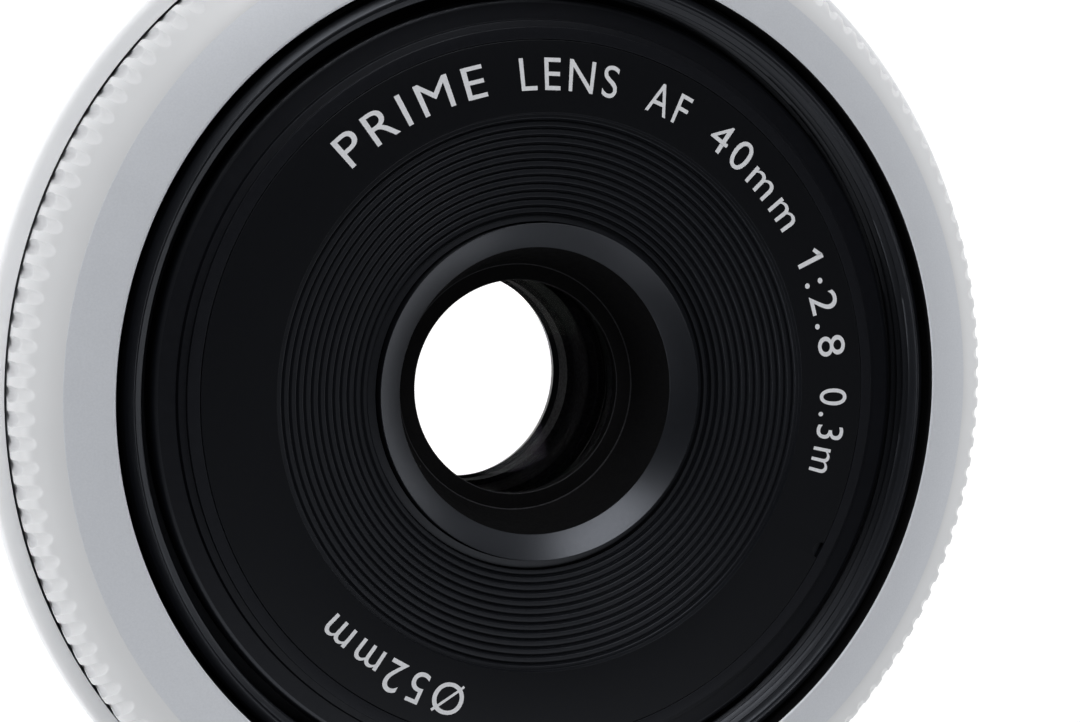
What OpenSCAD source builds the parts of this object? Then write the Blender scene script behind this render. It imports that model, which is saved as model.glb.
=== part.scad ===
// Pancake prime lens: a 40 mm f/2.8 autofocus lens with a bayonet mount and a 52 mm filter thread.
// Origin: centre of the bayonet's seat face. +Z points out of the front of the lens, +Y is its top.
// The moving barrel is drawn fully drawn in, as it stands at infinity focus. Sizes are in millimetres.

/* [Overall] */
// Length from the bayonet's seat face to the front edge of the trim ring
body_length = 22.8; // [22.8:0.1:24]
// Largest radius of the fixed barrel
barrel_r = 34.1; // [34:0.1:35]

/* [Bayonet] */
// Outer radius of the bayonet's flange
flange_r = 32.6; // [31.6:0.1:32.8]
// Thickness of the bayonet's flange
flange_t = 2.0; // [1.6:0.1:2]
// Outer radius of the three lugs
lug_r = 26.9; // [26.4:0.1:27]
// Width of each lug around the axis, in degrees
lug_span = 54; // [30:1:60]

/* [Filter thread] */
// Radius of the threaded wall, half of the nominal filter size
thread_r = 26.0; // [25.9:0.05:26.1]
// Depth of the threaded wall
thread_depth = 3.0; // [2.4:0.1:3]

/* [Focus ring] */
// Radius of the focus ring's grip
grip_r = 32.8; // [32.4:0.05:32.8]
// Number of grooves around the grip
groove_count = 144; // [96:12:180]
// Depth of the grooves
groove_depth = 0.5; // [0.2:0.05:0.5]

/* [Focus drive] */
// Travel of the moving barrel from infinity to the closest focus
focus_travel = 7.2; // [5:0.2:7.2]
// Turn of the cam ring over the whole travel, in degrees
cam_turn = 65; // [55:1:65]

/* [Diaphragm] */
// Turn of each blade from open to closed, in degrees
blade_turn = 27; // [18:1:27]
// Turn of the drive ring from open to closed, in degrees
iris_turn = 18; // [14:1:18]
// Radius of the clear opening in the diaphragm's base
iris_opening_r = 7.3; // [7:0.1:7.4]

/* [Hidden] */
$fn = 96;
sphere_fn = 300;
eps = 0.01;

// Colours
shell_white = [0.90, 0.91, 0.92];
trim_grey = [0.70, 0.72, 0.74];
moulded_black = [0.07, 0.07, 0.08];
anodised_black = [0.12, 0.12, 0.13];
bare_metal = [0.75, 0.76, 0.78];
brass_tone = [0.80, 0.65, 0.35];
gold_tone = [0.90, 0.72, 0.30];
board_green = [0.10, 0.35, 0.20];
film_orange = [0.75, 0.45, 0.15];
felt_black = [0.04, 0.04, 0.04];
glass_tint = [0.75, 0.85, 0.90];
nylon_white = [0.93, 0.92, 0.88];
dot_red = [0.80, 0.10, 0.08];
screw_dark = [0.25, 0.25, 0.27];

// Bayonet: flange from z = 0 forward, neck and lugs behind it
neck_r = 25.4;
neck_in_r = 23.8;
neck_z = -4.2;
relief_r = 27.6;
relief_z = 0.3;
lug_z0 = -4.0;
lug_z1 = -2.4;
lug_angles = [20, 140, 260];
mount_screw_r = 29.6;
mount_screw_angles = [45, 135, 225, 315];
mount_head_r = 1.35;
mount_shank_r = 0.7;
mount_screw_gap = 0.12;
mount_screw_len = 4.6;
lock_hole_r = 1.1;
lock_hole_depth = 1.5;
lock_hole_angle = 190;

// Rear baffle and electrical contacts, below the axis
back_z = -5.6;
baffle_r = 23.6;
baffle_wall = 1.1;
baffle_hole_r = 14.5;
baffle_top_z = 1.2;
baffle_t = 0.9;
contact_mid = 270;
contact_half = 35;
contact_in_r = 18.45;
contact_out_r = 22.2;
contact_top_z = 1.0;
contact_pitch = 8;
contact_count = 7;
contact_line_r = 20.4;
contact_pin_r = 0.75;
contact_screw_offset = 31;
contact_screw_r = 0.8;
flex_in_r = 19.9;
flex_out_r = 20.2;
flex_half = 8;
flex_gap = 0.2;

// Fixed barrel
barrel_in_r = 33.05;
barrel_floor_z = 2.0;
barrel_floor_top_z = 3.4;
barrel_floor_in_r = 24.3;
barrel_taper_z = 5.2;
barrel_rim_drop = 4.72;
rim_z = body_length - barrel_rim_drop;
rim_round = 1.0;
index_dot_r = 1.1;
index_dot_z = 7.2;

// Base plate, which carries the guide tube
base_in_r = 13.6;
base_out_r = 24.2;
base_z0 = 2.1;
base_tab_angles = [60, 180, 300];
base_tab_half = 8;
base_tab_r = 27.0;
base_tab_in_r = 23.5;
base_tab_top_z = 4.2;
base_key_r = 24.0;
base_key_in_r = 23.7;
base_key_z0 = 2.8;
base_key_z1 = 3.9;
base_key_half = 6;
base_screw_r = 25.6;
base_head_r = 1.1;
base_shank_r = 0.6;

// Guide tube, cam ring and cam followers
guide_in_r = 20.47;
guide_out_r = 21.8;
guide_top_z = 17.0;
follower_r = 1.0;
follower_z = 6.8;
follower_angles = [40, 160, 280];
follower_in_r = 19.0;
follower_out_r = 23.0;
slot_gap = 0.07;
cam_in_r = 21.87;
cam_out_r = 23.2;
cam_z0 = 3.55;
cam_z1 = 16.0;
cam_slot_steps = 13;
retainer_z0 = 16.12;
retainer_z1 = 16.5;
retainer_groove_r = 21.3;
retainer_out_r = 22.9;

// Focus gear train, from the cam ring's sector back to the motor's pinion
coarse_module = 0.5;
fine_module = 0.4;
sector_teeth = 100;
small_teeth = 10;
wheel_teeth = 18;
pinion_teeth = 9;
sector_z0 = 6.7;
sector_z1 = 7.9;
train_angle = 100;
sector_margin = 9;
wheel_h = 1.0;
first_level_z = 3.9;
second_level_z = 5.3;
cam_to_final = coarse_module * (sector_teeth + small_teeth) / 2;
stage_distance = fine_module * (wheel_teeth + pinion_teeth) / 2;
idler_angle = train_angle + 2 * asin(stage_distance / 2 / cam_to_final);
motor_axis_r = 28.6;
motor_cos = (cam_to_final ^ 2 + motor_axis_r ^ 2 - stage_distance ^ 2) / (2 * cam_to_final * motor_axis_r);
motor_angle = idler_angle + acos(motor_cos);
final_axis = polar(cam_to_final, train_angle);
idler_axis = polar(cam_to_final, idler_angle);
motor_axis = polar(motor_axis_r, motor_angle);
gear_shaft_r = 0.4;
gear_bore_r = 0.46;
motor_r = 3.0;
motor_z0 = 5.3;
motor_z1 = 9.4;
motor_shaft_r = 0.35;
bracket_z0 = 8.5;
bracket_z1 = 9.1;
bracket_in_r = 26.0;
bracket_out_r = 32.4;
bracket_from = 91;
bracket_to = 132;
post_r = 0.8;
post_angles = [92.5, 131];
post_axis_r = 31.2;

// Tooth form
pressure_angle = 20;
tooth_addendum = 0.6;
tooth_dedendum = 1.0;
tooth_backlash = 0.07;
flank_steps = 3;

// Focus sleeve: the fixed tube on which the focus ring turns
sleeve_in_r = 27.4;
sleeve_out_r = 28.3;
sleeve_top_z = 21.0;
sleeve_foot_r = 30.0;
sleeve_foot_t = 0.8;
sleeve_shoulder_r = 29.4;
sleeve_shoulder_z = 13.0;
sleeve_shoulder_t = 0.8;
sleeve_window_from = 87;
sleeve_window_to = 134;
sleeve_window_top = 9.8;
washer_t = 0.12;
snap_groove_r = 28.0;
snap_z0 = 20.15;
snap_z1 = 20.55;
snap_out_r = 29.3;
snap_gap = 0.03;
snap_from = 100;
snap_span = 340;
seal_in_r = 27.02;
seal_z0 = 19.6;
seal_z1 = 20.4;

// Focus ring, its trim ring and its comb
ring_bore_r = 28.37;
ring_z0 = 13.2;
ring_skirt_z = 13.4;
ring_ledge_z = 20.0;
ring_pocket_in_r = 29.6;
ring_pocket_out_r = 31.4;
ring_pocket_z = 16.0;
counterbore_r = 29.5;
trim_in_r = 27.1;
trim_out_r = 30.0;
trim_gap = 0.02;
trim_drop = 0.63;
trim_bottom_z = body_length - 1.4;
trim_edge = 0.15;
bevel_top_z = body_length - trim_drop;
bevel_angle = 31;
shoulder_r = 2.4;
shoulder_in_r = grip_r - shoulder_r * (1 - sin(bevel_angle));
shoulder_top_z = bevel_top_z - (shoulder_in_r - trim_out_r) * tan(bevel_angle);
shoulder_steps = 4;
groove_share = 0.62;
groove_foot_share = 0.55;
comb_in_r = 30.2;
comb_out_r = 30.7;
comb_z0 = 9.9;
comb_slots = 60;
comb_slot_h = 2.2;

// Photo interrupters that read the comb
sensor_angles = [200, 207.5];
sensor_half = 3;
sensor_in_r = 29.3;
sensor_arm_in_r = 29.9;
sensor_arm_out_r = 31.0;
sensor_out_r = 31.6;
sensor_z0 = 4.2;
sensor_slot_z = 9.2;
sensor_top_z = 11.8;

// Circuit board inside the guide tube
board_in_r = 13.8;
board_out_r = 20.2;
board_z0 = 3.5;
board_z1 = 4.3;
board_from = 120;
board_span = 300;
chip_angles = [150, 200, 330, 380];
chip_r = 17.0;
chip_w = 3.6;
chip_h = 0.7;

// Focus mode switch on the side
switch_angle = 15;
switch_turn = 4.2;
switch_z = 9.0;
switch_recess_half = 8;
switch_recess_h = 6.0;
switch_recess_r = 33.65;
switch_window_h = 2.6;
switch_stem_half = 1.9;
switch_plate_half = 4.6;
switch_plate_in_r = 32.15;
switch_plate_out_r = 32.7;
switch_plate_h = 4.4;
switch_cap_r = 34.4;
switch_cap_half = 2.6;
switch_cap_h = 3.6;
switch_board_in_r = 31.2;
switch_board_out_r = 31.8;
switch_board_half = 9.4;
switch_post_half = 0.9;

// Moving front barrel
front_z = body_length;
skirt_r = 26.8;
skirt_in_r = 25.9;
skirt_z0 = 10.0;
web_z0 = 17.6;
web_in_r = 18.0;
nose_z = front_z - 0.25;
nose_round = 0.35;
thread_lead = 0.15;
thread_floor_z = front_z - 0.4 - thread_depth;
land_r = 23.8;
land_step_r = 22.95;
land_low_z = front_z - 1.7;
land_mid_z = front_z - 1.45;
name_face_z = front_z - 1.15;
name_seat_r = 22.2;
name_seat_z = front_z - 2.35;
barrel_screw_r = 19.8;
barrel_screw_angles = [10, 130, 250];
barrel_head_r = 0.9;
barrel_shank_r = 0.4;

// Name ring with its ridged funnel
name_r = 22.16;
name_bottom_z = front_z - 2.3;
name_flat_r = 17.65;
name_inner_r = 10.95;
name_wall = 1.2;
ridge_count = 13;
ridge_pitch = 0.485;
ridge_depth = 0.22;
ridge_share = 0.55;
funnel_top_z = front_z - 1.5;
funnel_drop = 2.15;
funnel_base_z = front_z - 4.6;
notch_r = 0.55;
notch_angle = -31;

// Front retaining ring: the bevelled collar around the front element
collar_r = 10.85;
collar_z = front_z - 2.85;
collar_bore_r = 9.3;
collar_bore_z = front_z - 4.0;
collar_throat_r = 8.2;
collar_ledge_z = 14.8;
collar_foot_z = 15.0;
collar_nose_r = 8.3;
collar_nose_z = 14.2;
front_stop_r = 7.15;

// Lens carrier and cells
carrier_r = 20.4;
carrier_in_r = 19.2;
carrier_z0 = 5.6;
carrier_web_z = 6.9;
carrier_web_r = 9.5;
carrier_ledge_r = 18.7;
carrier_ledge_z = 14.2;
cell_wall_r = 9.8;
cell_z0 = 9.6;
cell_flange_r = 19.1;
cell_flange_z1 = 15.2;
cell_cup_r = 12.0;
cell_cup_in_r = 10.95;
cell_cup_z = 17.9;
cell_bore_r = 8.35;
cell_small_bore_r = 7.5;
cell_step_z = 12.15;
rear_cell_r = 8.6;
rear_cell_z0 = 1.3;
rear_flange_r = 12.9;
rear_flange_z0 = 4.7;
rear_neck_r = 9.4;
rear_cell_top_z = 6.85;
rear_bore_r = 6.9;
rear_seat_z = 3.7;
rear_seat_r = 6.45;
rear_pocket_r = 6.7;
rear_pocket_z = 2.45;
rear_ring_z0 = 1.2;
rear_ring_z1 = 1.78;
rear_stop_r = 6.25;
spacer_in_r = 7.3;
spacer_z1 = 12.6;

// Lens surfaces, front to back: vertex height and radius of curvature
lens_1_semi = 8.25;
lens_2_semi = 7.4;
lens_4_semi = 6.8;
lens_6_semi = 6.6;
s1_z = 15.2;
s1_radius = 22;
s2_z = 13.2;
s2_radius = 60;
s3_z = 12.9;
s3_radius = 16;
s4_z = 11.9;
s4_radius = 22;
s5_z = 11.3;
s5_radius = 18;
s6_z = 5.6;
s6_radius = 20;
s7_z = 5.0;
s7_radius = 25;
s8_z = 3.2;
s8_radius = 40;
s9_z = 2.9;
s9_radius = 30;
s10_z = 1.5;
s10_radius = 60;

// Diaphragm
blade_count = 7;
diaphragm_r = 18.6;
diaphragm_wall = 0.4;
base_disc_z0 = 6.95;
base_disc_z1 = 7.35;
cover_z0 = 9.05;
cover_z1 = 9.4;
cover_opening_r = 7.6;
pivot_r = 13.2;
post_pin_r = 0.42;
blade_hole_r = 0.5;
blade_t = 0.08;
blade_pitch = 0.14;
blade_z0 = 7.43;
blade_in_r = 7.6;
blade_out_r = 12.5;
blade_span = 92;
blade_boss_r = 1.0;
drive_angle = 11;
drive_pin_r = 0.3;
drive_slot_half = 0.38;
iris_z0 = 8.5;
iris_z1 = 8.9;
iris_in_r = 9.6;
iris_module = 0.3;
iris_teeth = 104;
iris_pinion_teeth = 8;
iris_body_r = 15.25;
iris_sector_half = 14;
iris_motor_angle = 70;
iris_pinion_r = iris_module * (iris_teeth + iris_pinion_teeth) / 2;
iris_motor_r = 2.2;
iris_motor_z0 = 9.5;
iris_motor_z1 = 12.9;
iris_shaft_r = 0.3;

// ---------- helpers ----------

function polar(r, a) = [r * cos(a), r * sin(a)];
function turned(p, a) = [p[0] * cos(a) - p[1] * sin(a), p[0] * sin(a) + p[1] * cos(a)];
function direction(a, b) = atan2(b[1] - a[1], b[0] - a[0]);
function involute(a) = tan(a) * 180 / PI - a;

// Half the angle of a tooth at radius r, for a gear of n teeth and module m
function half_tooth(n, m, r) =
    let (pitch = n * m / 2, base = pitch * cos(pressure_angle), at = max(r, base))
    90 / n - tooth_backlash / 2 / pitch * 180 / PI + involute(pressure_angle) - involute(acos(base / at));

// Outline of one tooth around angle a, from root to tip and back
function tooth_points(n, m, a) =
    let (pitch = n * m / 2, root = pitch - tooth_dedendum * m, tip = pitch + tooth_addendum * m,
         first = max(root + 0.1 * m, pitch * cos(pressure_angle)),
         rise = [for (k = [0:flank_steps]) first + (tip - first) * k / flank_steps],
         foot = half_tooth(n, m, first) * (root < pitch * cos(pressure_angle) - 0.05 * m ? 0.86 : 1.1))
    concat([polar(root, a - foot)],
           [for (r = rise) polar(r, a - half_tooth(n, m, r))],
           [for (k = [flank_steps:-1:0]) polar(rise[k], a + half_tooth(n, m, rise[k]))],
           [polar(root, a + foot)]);

// A flat gear of n teeth with one tooth centred on angle phase
module gear(n, m, h, phase) {
    linear_extrude(height = h)
        polygon([for (k = [0:n - 1], p = tooth_points(n, m, phase + k * 360 / n)) p]);
}

module tube(r_out, r_in, z0, z1) {
    rotate_extrude()
        translate([r_in, z0])
            square([r_out - r_in, z1 - z0]);
}

module arc(r_out, r_in, z0, z1, from, to) {
    rotate([0, 0, from])
        rotate_extrude(angle = to - from)
            translate([r_in, z0])
                square([r_out - r_in, z1 - z0]);
}

module revolve(points) {
    rotate_extrude()
        polygon(points);
}

module at_polar(r, a, z) {
    rotate([0, 0, a])
        translate([r, 0, z])
            children();
}

// Countersunk screw: flush head at z = 0, shank along +Z
module flat_screw(head_r, shank_r, length) {
    difference() {
        union() {
            cylinder(r1 = head_r, r2 = shank_r, h = head_r - shank_r);
            cylinder(r = shank_r, h = length);
        }
        for (a = [0, 90])
            rotate([0, 0, a])
                translate([-head_r * 0.55, -0.12, -eps])
                    cube([head_r * 1.1, 0.24, 0.3]);
    }
}

// Cheese-head screw: head above z = 0, shank along -Z
module cap_screw(head_r, head_h, shank_r, length) {
    difference() {
        union() {
            cylinder(r = head_r, h = head_h);
            translate([0, 0, -length])
                cylinder(r = shank_r, h = length + eps);
        }
        for (a = [0, 90])
            rotate([0, 0, a])
                translate([-head_r * 0.6, -0.12, head_h - 0.25])
                    cube([head_r * 1.2, 0.24, 1]);
    }
}

// ---------- bayonet, baffle and contacts ----------

module mount_bayonet() {
    color(bare_metal)
    difference() {
        union() {
            revolve([[neck_in_r, neck_z], [neck_r, neck_z], [neck_r, relief_z], [relief_r, relief_z],
                     [relief_r, 0], [flange_r, 0], [flange_r, flange_t], [neck_in_r, flange_t]]);
            for (a = lug_angles)
                arc(lug_r, neck_r - 0.2, lug_z0, lug_z1, a - lug_span / 2, a + lug_span / 2);
        }
        for (a = mount_screw_angles)
            at_polar(mount_screw_r, a, 0) {
                translate([0, 0, -eps])
                    cylinder(r1 = mount_head_r + mount_screw_gap, r2 = mount_shank_r + mount_screw_gap,
                             h = mount_head_r - mount_shank_r);
                translate([0, 0, -1])
                    cylinder(r = mount_shank_r + mount_screw_gap, h = flange_t + 2);
            }
        at_polar(mount_screw_r, lock_hole_angle, -1)
            cylinder(r = lock_hole_r, h = lock_hole_depth + 1);
    }
}

module mount_screws() {
    color(screw_dark)
    for (a = mount_screw_angles)
        at_polar(mount_screw_r, a, 0.05)
            flat_screw(mount_head_r, mount_shank_r, mount_screw_len - 0.05);
}

module rear_baffle() {
    color(moulded_black)
    difference() {
        revolve([[baffle_hole_r, back_z], [baffle_r, back_z], [baffle_r, baffle_top_z],
                 [baffle_r - baffle_wall, baffle_top_z], [baffle_r - baffle_wall, back_z + baffle_t],
                 [baffle_hole_r + 0.8, back_z + baffle_t], [baffle_hole_r, back_z + baffle_t / 2]]);
        arc(contact_out_r + 0.15, contact_in_r - 0.15, back_z - 1, back_z + baffle_t + 1,
            contact_mid - contact_half - 0.5, contact_mid + contact_half + 0.5);
    }
}

module contact_places() {
    for (k = [0:contact_count - 1])
        at_polar(contact_line_r, contact_mid + (k - (contact_count - 1) / 2) * contact_pitch, 0)
            children();
}

module contact_block() {
    color(moulded_black)
    difference() {
        arc(contact_out_r, contact_in_r, back_z, contact_top_z,
            contact_mid - contact_half, contact_mid + contact_half);
        contact_places()
            translate([0, 0, back_z - 1])
                cylinder(r = contact_pin_r, h = contact_top_z - back_z + 2);
        for (s = [-1, 1])
            at_polar(contact_line_r, contact_mid + s * contact_screw_offset, back_z - 1)
                cylinder(r = contact_screw_r, h = 4);
    }
}

module contact_pins() {
    color(gold_tone)
    contact_places() {
        translate([0, 0, back_z])
            cylinder(r = contact_pin_r, h = contact_top_z - back_z);
    }
}

module contact_screws() {
    color(screw_dark)
    for (s = [-1, 1])
        at_polar(contact_line_r, contact_mid + s * contact_screw_offset, back_z)
            flat_screw(contact_screw_r - 0.05, contact_screw_r / 2, 2.9);
}

module contact_flex() {
    color(film_orange)
    arc(flex_out_r, flex_in_r, contact_top_z, board_z0, contact_mid - flex_half, contact_mid + flex_half);
}

// ---------- fixed barrel and base plate ----------

module switch_cut(half, h, r_in, r_out) {
    arc(r_out, r_in, switch_z - h / 2, switch_z + h / 2,
        switch_angle - half, switch_angle + half + switch_turn);
}

module fixed_barrel() {
    color(shell_white)
    difference() {
        revolve(concat(
            [[barrel_floor_in_r, barrel_floor_z], [flange_r, barrel_floor_z], [barrel_r, barrel_taper_z]],
            [for (a = [0:15:90]) [barrel_r - rim_round, rim_z - rim_round] + polar(rim_round, a)],
            [[barrel_in_r, rim_z],
             [barrel_in_r, barrel_floor_top_z],
             [barrel_floor_in_r, barrel_floor_top_z]]));
        for (a = mount_screw_angles)
            at_polar(mount_screw_r, a, 0)
                cylinder(r = mount_shank_r, h = barrel_floor_top_z + 1);
        for (a = base_tab_angles)
            at_polar(base_screw_r, a, 0)
                cylinder(r = base_shank_r, h = barrel_floor_top_z + 1);
        for (a = post_angles)
            at_polar(post_axis_r, a, 0)
                cylinder(r = post_r / 2, h = barrel_floor_top_z + 1);
        switch_cut(switch_recess_half, switch_recess_h, switch_recess_r, barrel_r + 1);
        switch_cut(switch_stem_half + 0.6, switch_window_h, barrel_in_r - 1, barrel_r + 1);
        at_polar(barrel_r - 0.5, 90, index_dot_z)
            rotate([0, 90, 0])
                cylinder(r = index_dot_r, h = 2);
    }
}

module mount_index_dot() {
    color(dot_red)
    at_polar(barrel_r - 0.5, 90, index_dot_z)
        rotate([0, 90, 0])
            cylinder(r = index_dot_r, h = 0.5);
}

module base_plate() {
    color(anodised_black)
    difference() {
        union() {
            tube(base_out_r, base_in_r, base_z0, barrel_floor_top_z);
            for (a = base_tab_angles) {
                arc(base_tab_r, base_tab_in_r, barrel_floor_top_z, base_tab_top_z,
                    a - base_tab_half, a + base_tab_half);
                arc(base_key_r, base_key_in_r, base_key_z0, base_key_z1,
                    a - base_key_half, a + base_key_half);
            }
        }
        for (a = base_tab_angles)
            at_polar(base_screw_r, a, 0)
                cylinder(r = base_shank_r, h = base_tab_top_z + 1);
        arc(flex_out_r + flex_gap, flex_in_r - flex_gap, 0, board_z0,
            contact_mid - flex_half - 1, contact_mid + flex_half + 1);
    }
}

module base_screws() {
    color(screw_dark)
    for (a = base_tab_angles)
        at_polar(base_screw_r, a, base_tab_top_z)
            cap_screw(base_head_r, 0.55, base_shank_r, base_tab_top_z - barrel_floor_z - 0.3);
}

// ---------- cam drive ----------

module guide_tube() {
    color(anodised_black)
    difference() {
        tube(guide_out_r, guide_in_r, barrel_floor_top_z, guide_top_z);
        for (a = follower_angles)
            rotate([0, 0, a]) {
                for (z = [follower_z, follower_z + focus_travel])
                    translate([guide_in_r - 1, 0, z])
                        rotate([0, 90, 0])
                            cylinder(r = follower_r + slot_gap, h = 3);
                translate([guide_in_r - 1, -follower_r - slot_gap, follower_z])
                    cube([3, 2 * (follower_r + slot_gap), focus_travel]);
            }
        tube(guide_out_r + 1, retainer_groove_r, retainer_z0 - 0.02, retainer_z1 + 0.02);
    }
}

module cam_retainer() {
    color(bare_metal)
    arc(retainer_out_r, retainer_groove_r + 0.05, retainer_z0, retainer_z1, 12, 348);
}

// Cutter for one cam slot: it climbs by focus_travel while it runs back by cam_turn
module cam_slot_cutter(a0) {
    step_turn = cam_turn / cam_slot_steps;
    step_rise = focus_travel / cam_slot_steps;
    step_run = step_turn * PI / 180 * (cam_in_r + cam_out_r) / 2;
    lead = atan(step_rise / step_run);
    half = follower_r + slot_gap;
    depth = cam_out_r + 0.05 - follower_in_r;
    for (k = [0:cam_slot_steps])
        rotate([0, 0, a0 - k * step_turn])
            translate([follower_in_r, 0, follower_z + k * step_rise])
                rotate([0, 90, 0])
                    cylinder(r = half, h = depth);
    for (k = [0:cam_slot_steps - 1])
        rotate([0, 0, a0 - (k + 0.5) * step_turn])
            translate([follower_in_r, 0, follower_z + (k + 0.5) * step_rise])
                rotate([-lead, 0, 0])
                    translate([0, -step_run / 2, -half])
                        cube([depth, step_run, 2 * half]);
}

module cam_ring() {
    root_r = sector_teeth * coarse_module / 2 - tooth_dedendum * coarse_module;
    step = 360 / sector_teeth;
    first = round((cam_turn + sector_margin) / step);
    last = round(sector_margin / step);
    color(anodised_black)
    difference() {
        union() {
            tube(cam_out_r, cam_in_r, cam_z0, cam_z1);
            translate([0, 0, sector_z0])
                linear_extrude(height = sector_z1 - sector_z0)
                    polygon(concat(
                        [for (k = [-first:last],
                              p = tooth_points(sector_teeth, coarse_module, train_angle + k * step)) p],
                        [for (a = [last * step + step / 2:-3:-first * step - step / 2])
                            polar(cam_out_r - 0.3, train_angle + a)],
                        [polar(root_r, train_angle - (first + 0.5) * step)]));
        }
        for (a = follower_angles)
            cam_slot_cutter(a);
    }
}

module final_gear() {
    color(brass_tone)
    translate([final_axis[0], final_axis[1], 0])
        difference() {
            union() {
                translate([0, 0, second_level_z])
                    gear(wheel_teeth, fine_module, wheel_h, direction(final_axis, idler_axis));
                translate([0, 0, second_level_z + wheel_h - eps])
                    gear(small_teeth, coarse_module, sector_z1 - second_level_z - wheel_h + eps,
                         train_angle + 180 + 180 / small_teeth);
            }
            cylinder(r = gear_bore_r, h = 12);
        }
}

module idler_gear() {
    color(nylon_white)
    translate([idler_axis[0], idler_axis[1], 0])
        difference() {
            union() {
                translate([0, 0, first_level_z])
                    gear(wheel_teeth, fine_module, wheel_h, direction(idler_axis, motor_axis));
                translate([0, 0, first_level_z + wheel_h - eps])
                    gear(pinion_teeth, fine_module, second_level_z - first_level_z + eps,
                         direction(final_axis, idler_axis) + 180 + 180 / pinion_teeth);
            }
            cylinder(r = gear_bore_r, h = 12);
        }
}

module motor_pinion() {
    color(brass_tone)
    translate([motor_axis[0], motor_axis[1], 0]) {
        translate([0, 0, first_level_z])
            gear(pinion_teeth, fine_module, wheel_h,
                 direction(idler_axis, motor_axis) + 180 + 180 / pinion_teeth);
        translate([0, 0, first_level_z])
            cylinder(r = motor_shaft_r, h = 4);
    }
}

module focus_motor() {
    color(bare_metal)
    translate([motor_axis[0], motor_axis[1], 0])
        difference() {
            translate([0, 0, motor_z0])
                cylinder(r = motor_r, h = motor_z1 - motor_z0);
            translate([0, 0, motor_z0 - 1])
                cylinder(r = motor_shaft_r + 0.07, h = first_level_z + 5.2 - motor_z0);
        }
}

module gear_bracket() {
    color(bare_metal)
    difference() {
        union() {
            arc(bracket_out_r, bracket_in_r, bracket_z0, bracket_z1, bracket_from, bracket_to);
            for (a = post_angles)
                at_polar(post_axis_r, a, barrel_floor_top_z)
                    cylinder(r = post_r, h = bracket_z0 - barrel_floor_top_z + eps);
        }
        translate([motor_axis[0], motor_axis[1], 0])
            cylinder(r = motor_r, h = 12);
        for (axis = [final_axis, idler_axis])
            translate([axis[0], axis[1], 0])
                cylinder(r = gear_shaft_r, h = 12);
    }
}

module gear_shafts() {
    color(bare_metal)
    for (axis = [final_axis, idler_axis])
        translate([axis[0], axis[1], barrel_floor_top_z])
            cylinder(r = gear_shaft_r, h = bracket_z1 - barrel_floor_top_z);
}

// ---------- focus ring and what carries it ----------

module focus_sleeve() {
    color(anodised_black)
    difference() {
        revolve([[sleeve_in_r, barrel_floor_top_z], [sleeve_foot_r, barrel_floor_top_z],
                 [sleeve_foot_r, barrel_floor_top_z + sleeve_foot_t],
                 [sleeve_out_r, barrel_floor_top_z + sleeve_foot_t],
                 [sleeve_out_r, sleeve_shoulder_z - sleeve_shoulder_t],
                 [sleeve_shoulder_r, sleeve_shoulder_z - sleeve_shoulder_t],
                 [sleeve_shoulder_r, sleeve_shoulder_z], [sleeve_out_r, sleeve_shoulder_z],
                 [sleeve_out_r, snap_z0 - snap_gap], [snap_groove_r, snap_z0 - snap_gap],
                 [snap_groove_r, snap_z1 + snap_gap], [sleeve_out_r, snap_z1 + snap_gap],
                 [sleeve_out_r, sleeve_top_z],
                 [sleeve_in_r, sleeve_top_z]]);
        arc(sleeve_foot_r + 1, sleeve_in_r - 1, barrel_floor_top_z - 1, sleeve_window_top,
            sleeve_window_from, sleeve_window_to);
        for (a = mount_screw_angles)
            at_polar(mount_screw_r, a, 0)
                cylinder(r = 1.2, h = 6);
    }
}

module slide_washer() {
    color(nylon_white)
    tube(sleeve_shoulder_r, ring_bore_r, sleeve_shoulder_z, sleeve_shoulder_z + washer_t);
}

module snap_ring() {
    color(bare_metal)
    arc(snap_out_r, snap_groove_r + snap_gap, snap_z0, snap_z1, snap_from, snap_from + snap_span);
}

module light_seal() {
    color(felt_black)
    tube(sleeve_in_r, seal_in_r, seal_z0, seal_z1);
}

// Outline whose notches cut the grip's grooves
module groove_outline() {
    pitch = 360 / groove_count;
    half = pitch * groove_share / 2;
    foot = half * groove_foot_share;
    polygon([for (k = [0:groove_count - 1])
        each [polar(grip_r - groove_depth, k * pitch - foot), polar(grip_r - groove_depth, k * pitch + foot),
              polar(grip_r + groove_depth, k * pitch + half),
              polar(grip_r + groove_depth, (k + 1) * pitch - half)]]);
}

// Outline of the round shoulder between the grip's wall and its bevel, from the wall inwards
function shoulder() =
    [for (k = [0:shoulder_steps])
        let (a = 90 - k * (90 - bevel_angle) / shoulder_steps)
        [grip_r - shoulder_r * (1 - sin(a)), shoulder_top_z + shoulder_r * (cos(a) - cos(bevel_angle))]];

module focus_ring() {
    color(shell_white)
    intersection() {
        revolve([[ring_bore_r, ring_z0], [ring_pocket_in_r, ring_z0], [ring_pocket_in_r, ring_pocket_z],
                 [ring_pocket_out_r, ring_pocket_z], [ring_pocket_out_r, ring_skirt_z],
                 [grip_r, ring_skirt_z], each shoulder(), [trim_out_r, bevel_top_z],
                 [trim_out_r, trim_bottom_z], [counterbore_r, trim_bottom_z],
                 [counterbore_r, ring_ledge_z], [ring_bore_r, ring_ledge_z]]);
        translate([0, 0, ring_z0 - 1])
            linear_extrude(height = body_length)
                groove_outline();
    }
}

module front_trim_ring() {
    color(trim_grey)
    revolve([[trim_in_r, trim_bottom_z], [trim_out_r - trim_gap, trim_bottom_z],
             [trim_out_r - trim_gap, bevel_top_z],
             [trim_in_r + trim_edge, body_length], [trim_in_r, body_length - trim_edge]]);
}

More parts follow.
